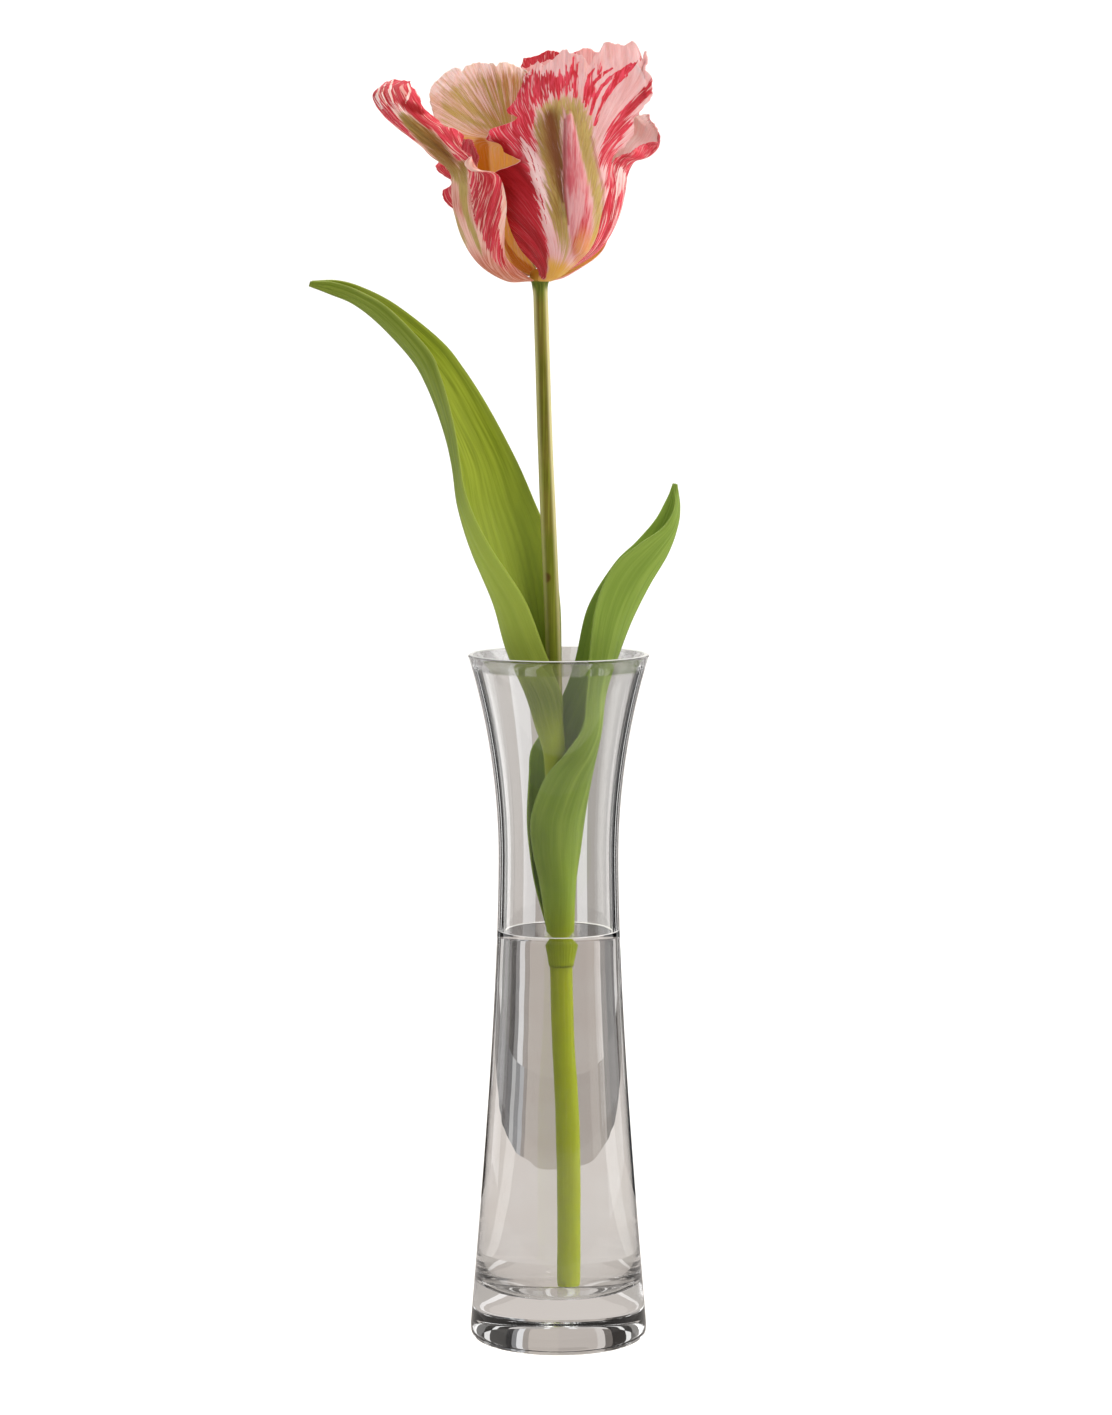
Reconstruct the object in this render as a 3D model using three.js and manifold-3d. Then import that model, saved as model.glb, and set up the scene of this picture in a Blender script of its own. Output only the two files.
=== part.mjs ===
// One cut parrot-type tulip standing in a slim waisted glass vase with water.
// Millimetres, +Z up, origin at the centre of the vase's foot. The flower's front faces -Y.
//
// Every petal and leaf is a thin sheet lofted through stations. A station gives three points across the
// sheet (left edge, middle, right edge, as seen from outside) and how far the section wraps round.

import * as THREE from 'three';
import { mergeVertices } from 'three/addons/utils/BufferGeometryUtils.js';
import Module from 'manifold-3d';

const wasm = await Module();
wasm.setup();

// ---- driving dimensions ----------------------------------------------------------------------------

const VASE_HEIGHT = 250;
const FOOT_FLAT_RADIUS = 29;
const FOOT_RADIUS = 32;
const FOOT_CORNER_HEIGHT = 5;
const WAIST_RADIUS = 21.65;
const WAIST_HEIGHT = 176;
const FLARE_RADIUS = 254;             // radius of the arc from the waist up to the rim
const WALL_TOP = 2.4;
const WALL_FOOT = 4.4;
const WALL_THIN_FROM = 110;           // height above which the wall keeps its thin gauge
const FLOOR_HEIGHT = 18.5;
const FLOOR_CORNER = 7;
const WATER_LEVEL = 149.5;
const GAP = 0.3;                      // clearance between pieces that touch
const ROUND_STEPS = 40;

const PETAL_THICKNESS = 0.8;
const LEAF_THICKNESS = 1.0;
const BLOOM_SEAT = [-6.6, 0, 385];    // where the petals leave the stem

// ---- small helpers -----------------------------------------------------------------------------------

const sum = (list, value) => list.reduce((total, item) => total + value(item), 0);
const bump = (x, centre, width) => Math.exp(-(((x - centre) / width) ** 2));
const smooth = (from, to, x) => THREE.MathUtils.smoothstep(x, from, to);

// Value of a row of numbers between stations, by a Catmull-Rom spline through them.
function along(rows, s) {
  const last = rows.length - 1;
  const place = THREE.MathUtils.clamp(s, 0, 1) * last;
  const i = Math.min(Math.floor(place), last - 1);
  const u = place - i;
  return rows[i].map((b, k) => {
    const c = rows[i + 1][k];
    const a = i > 0 ? rows[i - 1][k] : 2 * b - c;
    const d = i + 2 <= last ? rows[i + 2][k] : 2 * c - b;
    return 0.5 * (2 * b + (c - a) * u + (2 * a - 5 * b + 4 * c - d) * u * u + (3 * b - a - 3 * c + d) * u ** 3);
  });
}

function geometryOf(points, triangles) {
  const geometry = new THREE.BufferGeometry();
  const flat = points.flatMap((p) => (p.isVector3 ? [p.x, p.y, p.z] : p));
  geometry.setAttribute('position', new THREE.Float32BufferAttribute(flat, 3));
  geometry.setIndex(triangles);
  return geometry;
}

// ---- sheets: petals and leaves --------------------------------------------------------------------------

// Middle surface of a sheet, before its ruffles: s runs from root to tip, t from the left edge to the right.
function sheetPoint(stations, s, t) {
  const row = along(stations, s);
  const left = new THREE.Vector3(...row.slice(0, 3));
  const middle = new THREE.Vector3(...row.slice(3, 6));
  const right = new THREE.Vector3(...row.slice(6, 9));
  const wrap = THREE.MathUtils.degToRad(row[9]);
  const across = Math.sin(wrap * t) / Math.sin(wrap);
  const inward = (1 - Math.cos(wrap * t)) / (1 - Math.cos(wrap));
  const hollow = left.clone().add(right).multiplyScalar(0.5).sub(middle);
  const halfChord = right.clone().sub(left).multiplyScalar(0.5);
  return middle.addScaledVector(halfChord, across).addScaledVector(hollow, inward);
}

// Grid of points with, at each, the outward normal and the directions towards the tip and the right edge.
function gridOf(pointAt, rows, columns) {
  const grid = [];
  for (let i = 0; i <= rows; i++) {
    grid.push(Array.from({ length: columns + 1 }, (_, j) => pointAt(i, j)));
  }
  return grid;
}

function directionsOf(grid) {
  const rows = grid.length - 1;
  const columns = grid[0].length - 1;
  return grid.map((line, i) => line.map((_, j) => {
    const up = grid[Math.min(i + 1, rows)][j].clone().sub(grid[Math.max(i - 1, 0)][j]).normalize();
    const side = grid[i][Math.min(j + 1, columns)].clone().sub(grid[i][Math.max(j - 1, 0)]).normalize();
    return { up, side, out: new THREE.Vector3().crossVectors(side, up).normalize() };
  }));
}

// Ruffles along the edges, and lobes and notches cut in them. Each shape is a short list of terms.
function ruffled(grid, shape) {
  const { edgeWaves = [], crownWaves = [], edgeLobes = [], crownLobes = [] } = shape;
  const directions = directionsOf(grid);
  const rows = grid.length - 1;
  const columns = grid[0].length - 1;
  return gridOf((i, j) => {
    const s = i / rows;
    const t = -1 + (2 * j) / columns;
    const edge = Math.abs(t);
    const hand = t > 0 ? 1 : -1;
    const mine = (list) => list.filter((item) => item.hand === hand);
    const waves = sum(mine(edgeWaves), (w) => w.depth * Math.sin(2 * Math.PI * w.count * s + w.phase));
    const crown = sum(crownWaves, (w) => w.depth * Math.sin(w.count * t + w.phase));
    const outwards = waves * edge ** 2.5 * smooth(0.12, 0.5, s) + crown * smooth(0.6, 1, s);
    const upwards = sum(crownLobes, (l) => l.size * bump(t, l.at, l.width)) * smooth(0.72, 1, s);
    const sideways = sum(mine(edgeLobes), (l) => l.size * bump(s, l.at, l.width)) * edge ** 4 * hand;
    const d = directions[i][j];
    return grid[i][j].clone()
      .addScaledVector(d.out, outwards)
      .addScaledVector(d.up, upwards)
      .addScaledVector(d.side, sideways);
  }, rows, columns);
}

// Closed solid of even thickness round a grid of points, both faces split along the same diagonals.
function thickened(grid, thickness) {
  const directions = directionsOf(grid);
  const rows = grid.length;
  const columns = grid[0].length;
  const half = thickness / 2;
  const outer = grid.flatMap((line, i) => line.map((p, j) => p.clone().addScaledVector(directions[i][j].out, half)));
  const inner = grid.flatMap((line, i) => line.map((p, j) => p.clone().addScaledVector(directions[i][j].out, -half)));
  const face = (i, j) => i * columns + j;
  const back = (i, j) => rows * columns + face(i, j);
  const triangles = [];
  for (let i = 0; i + 1 < rows; i++) {
    for (let j = 0; j + 1 < columns; j++) {
      triangles.push(face(i, j), face(i, j + 1), face(i + 1, j + 1));
      triangles.push(face(i, j), face(i + 1, j + 1), face(i + 1, j));
      triangles.push(back(i, j), back(i + 1, j + 1), back(i, j + 1));
      triangles.push(back(i, j), back(i + 1, j), back(i + 1, j + 1));
    }
  }
  // The rim runs once round the sheet, anticlockwise as seen from outside.
  const rim = [];
  for (let j = 0; j < columns - 1; j++) rim.push([0, j]);
  for (let i = 0; i < rows - 1; i++) rim.push([i, columns - 1]);
  for (let j = columns - 1; j > 0; j--) rim.push([rows - 1, j]);
  for (let i = rows - 1; i > 0; i--) rim.push([i, 0]);
  rim.forEach(([i, j], k) => {
    const [m, n] = rim[(k + 1) % rim.length];
    triangles.push(face(i, j), back(i, j), back(m, n));
    triangles.push(face(i, j), back(m, n), face(m, n));
  });
  return geometryOf([...outer, ...inner], triangles);
}

function sheet({ stations, origin = [0, 0, 0], rows, columns, thickness, ...shape }) {
  const lines = stations.map(([left, middle, right, wrap]) => [...left, ...middle, ...right, wrap]);
  const plain = gridOf((i, j) => sheetPoint(lines, i / rows, -1 + (2 * j) / columns), rows, columns);
  return thickened(ruffled(plain, shape), thickness).translate(...origin);
}

// ---- petals: three outer and three inner ----------------------------------------------------------------

// Stations are given from the bloom's seat. Hand -1 is the left edge and 1 the right, seen from outside.
const petals = {
  tepal_outer_front: {
    rows: 28,
    columns: 14,
    stations: [
      [[-0.6, -4.5, -1.6], [2.0, -4.4, -1.6], [4.0, -3.0, -1.6], 40],
      [[-0.8, -10.5, 2.6], [5.5, -12.5, 0.6], [10.0, -8.5, 2.4], 60],
      [[-7.0, -16.0, 9.7], [9.6, -22.5, 9.5], [18.0, -13.5, 10.5], 65],
      [[-11.2, -19.5, 20], [11.2, -28.0, 21], [22.0, -18.5, 22], 65],
      [[-13.5, -20.5, 31], [11.4, -29.5, 31], [23.5, -19.5, 32], 60],
      [[-13.5, -21.5, 39], [11.0, -29.5, 40], [27.0, -19.5, 41.5], 50],
      [[-12.5, -23.5, 48], [10.4, -28.5, 49], [32.0, -19.0, 50], 42],
      [[-9.5, -25.0, 56.5], [9.8, -27.5, 58], [36.5, -20.0, 58.5], 35],
      [[-7.5, -26.0, 63.5], [9.5, -27.5, 67], [39.0, -22.0, 68], 30],
      [[-5.0, -27.0, 69], [9.6, -29.0, 75.5], [37.5, -25.0, 77], 25],
    ],
    edgeWaves: [
      { hand: -1, depth: 0.8, count: 4, phase: 0.5 },
      { hand: 1, depth: 1.2, count: 4.5, phase: 2 },
    ],
    crownWaves: [{ depth: 1.2, count: 6, phase: 0.3 }],
    edgeLobes: [
      { hand: -1, at: 0.5, width: 0.035, size: 2 },
      { hand: -1, at: 0.58, width: 0.03, size: -10 },
      { hand: -1, at: 0.695, width: 0.025, size: 8 },
      { hand: -1, at: 0.75, width: 0.02, size: -3 },
      { hand: -1, at: 0.8, width: 0.025, size: 2.5 },
      { hand: 1, at: 0.72, width: 0.03, size: -1.5 },
      { hand: 1, at: 0.82, width: 0.03, size: 1.5 },
    ],
    crownLobes: [
      { at: -0.62, width: 0.1, size: 2 },
      { at: -0.02, width: 0.12, size: 2.4 },
      { at: 0.27, width: 0.07, size: -1.5 },
      { at: 0.6, width: 0.17, size: 4.2 },
      { at: 0.84, width: 0.05, size: -1.5 },
      { at: 0.98, width: 0.06, size: 2 },
    ],
  },
  tepal_outer_left: {
    rows: 26,
    columns: 12,
    stations: [
      [[-4.5, -0.4, -1.6], [-3.8, -2.6, -1.6], [-2.2, -4.1, -1.6], 40],
      [[-12.0, 0.0, -0.2], [-11.0, -7.5, -1.4], [-6.5, -10.5, 1.4], 60],
      [[-21.5, -2.0, 5.0], [-18.5, -14.0, 4.0], [-12.0, -18.5, 7.0], 65],
      [[-27.5, -3.0, 14.0], [-22.7, -18.5, 13.5], [-12.2, -24.0, 16], 65],
      [[-30.0, -4.0, 23.0], [-25.0, -20.0, 23], [-11.8, -25.5, 26], 65],
      [[-30.8, -5.0, 31.0], [-25.8, -20.0, 31], [-14.0, -26.0, 35], 60],
      [[-32.5, -8.0, 37.5], [-28.0, -19.5, 37.5], [-20.0, -24.5, 40.5], 55],
      [[-37.5, -11.0, 42.0], [-35.0, -18.5, 44.0], [-27.0, -19.0, 45], 50],
      [[-45.5, -13.0, 48.5], [-43.0, -18.5, 50.0], [-31.0, -15.5, 52], 50],
      [[-53.5, -14.0, 55.5], [-50.5, -18.0, 57.0], [-39.5, -14.0, 57.0], 60],
      [[-58.5, -12.0, 62.5], [-55.0, -16.0, 64.5], [-44.0, -13.0, 65.5], 60],
      [[-54.5, -9.0, 67.5], [-50.5, -10.0, 68.5], [-46.0, -11.0, 67.5], 50],
    ],
    edgeWaves: [
      { hand: -1, depth: 0.5, count: 5, phase: 1 },
      { hand: 1, depth: 1, count: 6, phase: 1 },
    ],
    edgeLobes: [
      { hand: 1, at: 0.55, width: 0.025, size: 1.5 },
      { hand: 1, at: 0.68, width: 0.025, size: 1.5 },
      { hand: 1, at: 0.74, width: 0.02, size: -1.5 },
    ],
  },
  tepal_outer_back: {
    rows: 18,
    columns: 12,
    stations: [
      [[4.2, 2.4, -1.6], [2.2, 4.2, -1.6], [-0.2, 4.8, -1.6], 40],
      [[11.5, 8.5, 1.4], [6.5, 12.3, 0.2], [0.0, 13.5, 1.4], 60],
      [[22.0, 15.0, 9.0], [12.0, 22.5, 8.5], [0.0, 25.0, 9.5], 60],
      [[27.0, 18.5, 21], [15.0, 28.0, 21], [-1.0, 31.0, 21], 60],
      [[29.5, 20.5, 33], [16.0, 30.5, 34], [-3.0, 34.0, 33], 55],
      [[32.0, 22.5, 46], [17.0, 31.5, 48], [-6.0, 35.0, 46], 50],
      [[35.0, 24.5, 59], [18.0, 33.0, 61], [-9.0, 36.0, 59], 45],
      [[36.0, 26.5, 69], [19.0, 35.0, 72], [-9.0, 37.0, 69], 35],
      [[31.0, 30.0, 77], [19.0, 37.0, 80], [-4.0, 38.0, 77], 25],
    ],
    edgeWaves: [
      { hand: -1, depth: 1, count: 4, phase: 2.5 },
      { hand: 1, depth: 1, count: 4, phase: 0.5 },
    ],
    crownWaves: [{ depth: 1.2, count: 7, phase: 2 }],
    crownLobes: [
      { at: 0.7, width: 0.12, size: 1.6 },
      { at: 0.38, width: 0.08, size: -1.2 },
      { at: 0.1, width: 0.14, size: 1.6 },
      { at: -0.3, width: 0.1, size: -1.2 },
      { at: -0.7, width: 0.1, size: 1.2 },
    ],
  },
  tepal_inner_right: {
    rows: 20,
    columns: 12,
    stations: [
      [[3.7, -1.9, 0.3], [4.2, 0.0, 0.3], [3.7, 1.9, 0.3], 40],
      [[9.0, -6.0, 3.2], [11.0, 0.0, 2.8], [9.0, 6.0, 3.2], 60],
      [[16.0, -11.5, 10], [21.0, -1.0, 9.5], [17.0, 11.0, 11], 65],
      [[20.5, -14.5, 20], [27.0, -1.5, 19], [22.0, 14.0, 21], 65],
      [[22.0, -15.5, 30], [29.8, -2.0, 29], [24.0, 16.0, 31], 65],
      [[24.0, -15.5, 37.5], [30.9, -2.5, 36], [26.0, 15.0, 40], 60],
      [[28.0, -14.5, 42.5], [33.8, -3.0, 40.3], [30.0, 12.0, 46], 55],
      [[33.0, -12.5, 46], [39.3, -4.0, 41], [34.0, 8.0, 51], 55],
      [[38.0, -10.5, 48.5], [43.2, -5.0, 44.5], [36.5, 5.0, 54], 50],
      [[40.5, -8.0, 50.5], [42.5, -4.0, 50], [38.8, 1.0, 53.5], 40],
    ],
    edgeWaves: [
      { hand: -1, depth: 0.8, count: 4, phase: 2 },
      { hand: 1, depth: 1.2, count: 4, phase: 2 },
    ],
  },
  tepal_inner_back: {
    rows: 18,
    columns: 12,
    stations: [
      [[-0.8, 4.1, 0.3], [-2.4, 3.4, 0.3], [-3.7, 2.0, 0.3], 40],
      [[-1.5, 9.8, 3.2], [-6.2, 9.2, 2.8], [-9.8, 5.6, 3.2], 60],
      [[0.0, 19.0, 10.5], [-12.0, 17.5, 9.0], [-19.0, 9.5, 10.5], 60],
      [[4.0, 24.0, 20], [-15.5, 22.5, 20], [-24.8, 12.5, 20], 60],
      [[6.0, 26.0, 32], [-17.0, 24.5, 32], [-27.0, 13.5, 31], 55],
      [[6.0, 28.0, 44], [-18.5, 26.0, 44], [-30.0, 14.5, 42], 50],
      [[4.0, 30.0, 56], [-20.0, 27.5, 56], [-35.0, 16.5, 52], 40],
      [[1.0, 32.0, 67], [-20.0, 29.0, 68], [-39.2, 18.5, 62.5], 35],
      [[-6.0, 33.0, 75], [-19.5, 31.0, 76.5], [-35.5, 21.0, 72.5], 25],
    ],
    edgeWaves: [
      { hand: -1, depth: 1, count: 4, phase: 0.5 },
      { hand: 1, depth: 1, count: 4, phase: 1.5 },
    ],
    crownWaves: [{ depth: 1.2, count: 7, phase: 0.5 }],
    crownLobes: [
      { at: 0.6, width: 0.12, size: 1.2 },
      { at: 0.28, width: 0.08, size: -1.2 },
      { at: -0.1, width: 0.14, size: 1.6 },
      { at: -0.45, width: 0.1, size: -1 },
      { at: -0.75, width: 0.1, size: 1 },
    ],
  },
  tepal_inner_left: {
    rows: 18,
    columns: 10,
    stations: [
      [[-4.0, 0.6, 0.3], [-4.1, -0.7, 0.3], [-3.6, -2.1, 0.3], 40],
      [[-9.8, 2.2, 3.2], [-10.6, -1.5, 2.8], [-9.0, -6.2, 3.2], 60],
      [[-17.5, 6.5, 10], [-19.5, -1.0, 9.5], [-16.0, -10.5, 10], 60],
      [[-24.0, 9.0, 19], [-25.0, -0.5, 19], [-20.0, -13.5, 19], 60],
      [[-31.0, 9.5, 28], [-26.8, 0.0, 29], [-21.5, -14.0, 28], 55],
      [[-34.5, 9.5, 36], [-27.5, 1.5, 37], [-21.8, -12.5, 36], 50],
      [[-33.0, 10.0, 43], [-27.0, 3.0, 44], [-22.5, -8.5, 43], 40],
      [[-30.0, 8.5, 48], [-26.5, 4.0, 48.5], [-24.0, -3.0, 48], 30],
    ],
    edgeWaves: [
      { hand: -1, depth: 1.2, count: 4.5, phase: 0 },
      { hand: 1, depth: 0.5, count: 3, phase: 1 },
    ],
    edgeLobes: [
      { hand: -1, at: 0.56, width: 0.045, size: 3 },
      { hand: -1, at: 0.655, width: 0.035, size: -2.5 },
      { hand: -1, at: 0.74, width: 0.045, size: 2.5 },
    ],
  },
};

// ---- leaves: each clasps the stem with a rolled sheath and opens into a folded blade --------------------

const leaves = {
  leaf_upper: {
    rows: 28,
    columns: 10,
    stations: [
      [[2.6, 2.1, 205], [-4.6, 0.0, 205], [2.6, -2.1, 205], 150],
      [[2.4, 2.3, 215], [-5.2, 0.0, 215], [2.4, -2.3, 215], 150],
      [[0.8, 3.4, 225], [-8.0, 0.0, 224], [1.5, -3.4, 225.5], 140],
      [[1.0, 5.0, 235], [-11.5, 0.0, 235.5], [1.0, -5.0, 236], 120],
      [[1.0, 5.5, 251], [-18.0, 1.0, 251], [-5.0, -8.0, 252], 105],
      [[0.5, 6.0, 269], [-22.0, 1.0, 268], [-12.0, -12.0, 270], 90],
      [[-2.5, 7.0, 288.5], [-28.0, 2.0, 286.5], [-23.5, -14.0, 288], 75],
      [[-9.0, 8.0, 305], [-32.0, 3.0, 302], [-31.5, -15.0, 304], 65],
      [[-16.0, 9.0, 321], [-34.5, 3.0, 317.5], [-35.5, -15.0, 319.5], 60],
      [[-26.0, 9.0, 339.5], [-40.5, 2.0, 333.5], [-37.5, -14.0, 336], 60],
      [[-34.0, 8.0, 352], [-46.5, 1.0, 347], [-41.5, -12.0, 349], 60],
      [[-42.0, 6.0, 362], [-52.5, 0.0, 356.5], [-46.5, -11.0, 359], 60],
      [[-57.5, 3.0, 374.5], [-63.5, -2.0, 368.5], [-59.5, -9.0, 373], 60],
      [[-68.5, -1.0, 380.5], [-72.5, -3.5, 375.5], [-69.5, -8.0, 379.5], 55],
      [[-78.5, -4.0, 383.5], [-81.0, -5.0, 379], [-79.5, -7.5, 382.5], 50],
      [[-87.5, -5.6, 383.2], [-88.5, -6.0, 381.8], [-88.0, -7.0, 383], 40],
    ],
    edgeWaves: [
      { hand: -1, depth: 0.4, count: 5, phase: 0 },
      { hand: 1, depth: 0.4, count: 5, phase: 0 },
    ],
  },
  leaf_lower: {
    rows: 30,
    columns: 10,
    stations: [
      [[-3.0, -1.6, 137], [4.5, 0.0, 137], [-3.0, 1.6, 137], 155],
      [[-4.0, -2.2, 149], [5.2, 0.0, 149], [-4.0, 2.2, 149], 155],
      [[-6.5, -5.5, 167], [5.6, 0.0, 166.5], [-8.5, 5.0, 165.5], 150],
      [[-9.0, -7.5, 180], [7.5, 0.0, 179.5], [-10.5, 5.5, 178], 145],
      [[-9.5, -9.0, 192.5], [9.0, 0.0, 191.5], [-11.5, 6.0, 190.5], 135],
      [[-5.0, -10.0, 206], [11.0, 0.0, 205], [-11.0, 7.0, 205], 120],
      [[2.5, -11.0, 215.5], [12.0, 0.0, 214.5], [-10.0, 7.5, 214.5], 100],
      [[8.5, -11.0, 225], [13.5, 0.0, 223.5], [-5.0, 7.5, 222.5], 85],
      [[10.0, -11.0, 236.5], [16.0, 0.0, 235.5], [1.5, 7.0, 234.5], 75],
      [[11.0, -10.0, 249.5], [20.0, 0.0, 247], [6.0, 7.0, 247], 70],
      [[13.0, -9.0, 267], [25.5, 1.0, 261.5], [10.5, 7.0, 266], 65],
      [[19.5, -7.0, 281.5], [32.0, 2.0, 274.5], [20.0, 6.0, 282], 60],
      [[28.5, -5.0, 289.5], [38.5, 3.0, 285.5], [28.0, 5.0, 290], 55],
      [[38.0, -3.0, 296], [42.0, 3.0, 295], [34.0, 4.5, 297], 50],
      [[41.5, -1.0, 303], [43.0, 3.0, 302.5], [38.5, 3.5, 304.5], 45],
      [[41.5, 1.3, 311], [42.2, 2.0, 310.6], [41.2, 2.7, 311], 40],
    ],
    edgeWaves: [
      { hand: -1, depth: 0.4, count: 5, phase: 1 },
      { hand: 1, depth: 0.4, count: 5, phase: 1 },
    ],
  },
};

// ---- round lofts: stem, pistil, stamens ------------------------------------------------------------------

// Closed solid through round rings, each [x, y, z, radius], with a flat fan at both ends.
function roundLoft(rings, sides) {
  const points = rings.flatMap(([x, y, z, radius]) => Array.from({ length: sides }, (_, k) => {
    const angle = (2 * Math.PI * k) / sides;
    return [x + radius * Math.cos(angle), y + radius * Math.sin(angle), z];
  }));
  const triangles = [];
  for (let i = 0; i + 1 < rings.length; i++) {
    for (let k = 0; k < sides; k++) {
      const next = (k + 1) % sides;
      const low = i * sides;
      const high = low + sides;
      triangles.push(low + k, low + next, high + next, low + k, high + next, high + k);
    }
  }
  const bottom = points.push(rings[0].slice(0, 3)) - 1;
  const top = points.push(rings.at(-1).slice(0, 3)) - 1;
  const last = (rings.length - 1) * sides;
  for (let k = 0; k < sides; k++) {
    const next = (k + 1) % sides;
    triangles.push(bottom, next, k, top, last + k, last + next);
  }
  return geometryOf(points, triangles);
}

const STEM_SIDES = 14;
const STEM_FOOT = FLOOR_HEIGHT + GAP;
// Centre line and radius of the stem from its cut end up to the bloom: [x, y, z, radius].
const stemLine = [
  [2.5, 0, STEM_FOOT, 3.0],
  [2.6, 0, 57, 3.08],
  [2.0, 0, 85, 3.05],
  [1.1, 0, 113, 3.0],
  [0.5, 0, 150, 3.0],
  [-0.4, 0, 190, 2.95],
  [-1.2, 0, 222, 2.9],
  [-2.0, 0, 255, 2.85],
  [-3.2, 0, 287, 2.8],
  [-4.7, 0, 323, 2.7],
  [-5.7, 0, 355, 2.62],
  [-6.4, 0, 378, 2.6],
];
const [seatX, seatY, seatZ] = BLOOM_SEAT;
// The receptacle: the swollen end of the stem that the petals, stamens and pistil stand on.
const receptacle = [
  [seatX, seatY, seatZ - 4, 2.8],
  [seatX, seatY, seatZ - 2.4, 3.7],
  [seatX, seatY, seatZ - 1.4, 4.0],
  [seatX, seatY, seatZ + 0.8, 3.7],
  [seatX, seatY, seatZ + 1.8, 3.2],
  [seatX, seatY, seatZ + 2.6, 1.8],
];
const STEM_STEPS = 26;
const stemRings = Array.from({ length: STEM_STEPS + 1 }, (_, i) => along(stemLine, i / STEM_STEPS));
const stem = roundLoft([...stemRings, ...receptacle], STEM_SIDES);

// ---- solids by joining and cutting -------------------------------------------------------------------------

function solidOf(geometry) {
  const bare = geometry.clone();
  bare.deleteAttribute('normal');
  bare.deleteAttribute('uv');
  const merged = mergeVertices(bare, 1e-4);
  return new wasm.Manifold(new wasm.Mesh({
    numProp: 3,
    vertProperties: new Float32Array(merged.attributes.position.array),
    triVerts: new Uint32Array(merged.index.array),
  }));
}

function geometryFrom(solid) {
  const mesh = solid.getMesh();
  const geometry = new THREE.BufferGeometry();
  geometry.setAttribute('position', new THREE.BufferAttribute(new Float32Array(mesh.vertProperties), 3));
  geometry.setIndex(new THREE.BufferAttribute(new Uint32Array(mesh.triVerts), 1));
  return geometry;
}

// Pistil: a three-sided ovary under a crown of three stigma lobes.
const PISTIL_SEAT = 2.9;
const pistilProfile = [
  [0, 2.0],
  [2, 2.8],
  [7, 3.4],
  [14, 3.2],
  [19, 2.6],
  [21, 3.0],
  [23, 2.4],
];
const STIGMA_REACH = 3.2;
const STAMEN_COUNT = 6;
const STAMEN_LEAN = 7.5;
const FILAMENT_TOP = 11;
const ANTHER_TOP = 20;

function pistilAndStamens() {
  const floor = seatZ + PISTIL_SEAT;
  const spot = (reach, angle, up, radius) => {
    const x = seatX + reach * Math.cos(angle);
    const y = seatY + reach * Math.sin(angle);
    return [x, y, floor + up, radius];
  };
  let solid = solidOf(roundLoft(pistilProfile.map(([up, radius]) => spot(0, 0, up, radius)), 12));
  for (let k = 0; k < 3; k++) {
    const angle = (2 * Math.PI * k) / 3 + 0.4;
    const lobe = [
      spot(1.2, angle, 20, 0.9),
      spot(STIGMA_REACH, angle, 21.2, 1.5),
      spot(STIGMA_REACH, angle, 22.8, 1.5),
      spot(1.6, angle, 23.8, 0.8),
    ];
    solid = solid.add(solidOf(roundLoft(lobe, 8)));
  }
  for (let k = 0; k < STAMEN_COUNT; k++) {
    const angle = (2 * Math.PI * (k + 0.5)) / STAMEN_COUNT + 0.15;
    const stamen = [
      spot(1.2, angle, 0.4, 0.8),
      spot(4.4, angle, 4.5, 0.75),
      spot(STAMEN_LEAN - 1.2, angle, FILAMENT_TOP - 1, 0.6),
      spot(STAMEN_LEAN - 0.8, angle, FILAMENT_TOP, 1.2),
      spot(STAMEN_LEAN - 0.1, angle, FILAMENT_TOP + 4, 1.35),
      spot(STAMEN_LEAN + 0.2, angle, ANTHER_TOP - 1.5, 1.1),
      spot(STAMEN_LEAN + 0.2, angle, ANTHER_TOP, 0.4),
    ];
    solid = solid.add(solidOf(roundLoft(stamen, 8)));
  }
  return geometryFrom(solid);
}

// ---- vase and water ---------------------------------------------------------------------------------------

const vaseSide = new THREE.CubicBezierCurve(
  new THREE.Vector2(FOOT_RADIUS, FOOT_CORNER_HEIGHT),
  new THREE.Vector2(28.4, 50),
  new THREE.Vector2(22.0, 120),
  new THREE.Vector2(WAIST_RADIUS, WAIST_HEIGHT),
);

// Outer radius of the vase at a height: a long S-curve below the waist, one arc above it.
function outerRadius(z) {
  if (z >= WAIST_HEIGHT) {
    return WAIST_RADIUS + FLARE_RADIUS - Math.sqrt(FLARE_RADIUS ** 2 - (z - WAIST_HEIGHT) ** 2);
  }
  let [low, high] = [0, 1];
  for (let k = 0; k < 30; k++) {
    const middle = (low + high) / 2;
    if (vaseSide.getPoint(middle).y < z) low = middle;
    else high = middle;
  }
  return vaseSide.getPoint(low).x;
}

function innerRadius(z) {
  const wall = THREE.MathUtils.lerp(WALL_FOOT, WALL_TOP, smooth(FLOOR_HEIGHT, WALL_THIN_FROM, z));
  return outerRadius(z) - wall;
}

// Inside of the vase from the middle of its floor up to a height, pulled in by a clearance.
function insideProfile(top, steps, clearance) {
  const floor = FLOOR_HEIGHT + clearance;
  const wallFrom = FLOOR_HEIGHT + FLOOR_CORNER;
  const cornerRadius = innerRadius(wallFrom) - clearance;
  const points = [new THREE.Vector2(0, floor)];
  for (let k = 0; k <= 4; k++) {
    const angle = (Math.PI / 2) * (k / 4);
    const r = cornerRadius - FLOOR_CORNER + FLOOR_CORNER * Math.sin(angle);
    points.push(new THREE.Vector2(r, floor + (wallFrom - floor) * (1 - Math.cos(angle))));
  }
  for (let k = 1; k <= steps; k++) {
    const z = wallFrom + ((top - wallFrom) * k) / steps;
    points.push(new THREE.Vector2(innerRadius(z) - clearance, z));
  }
  return points;
}

// A lathe turns its profile round Y, so the result is stood up on +Z.
const turned = (profile) => new THREE.LatheGeometry(profile, ROUND_STEPS).rotateX(Math.PI / 2);

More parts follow.
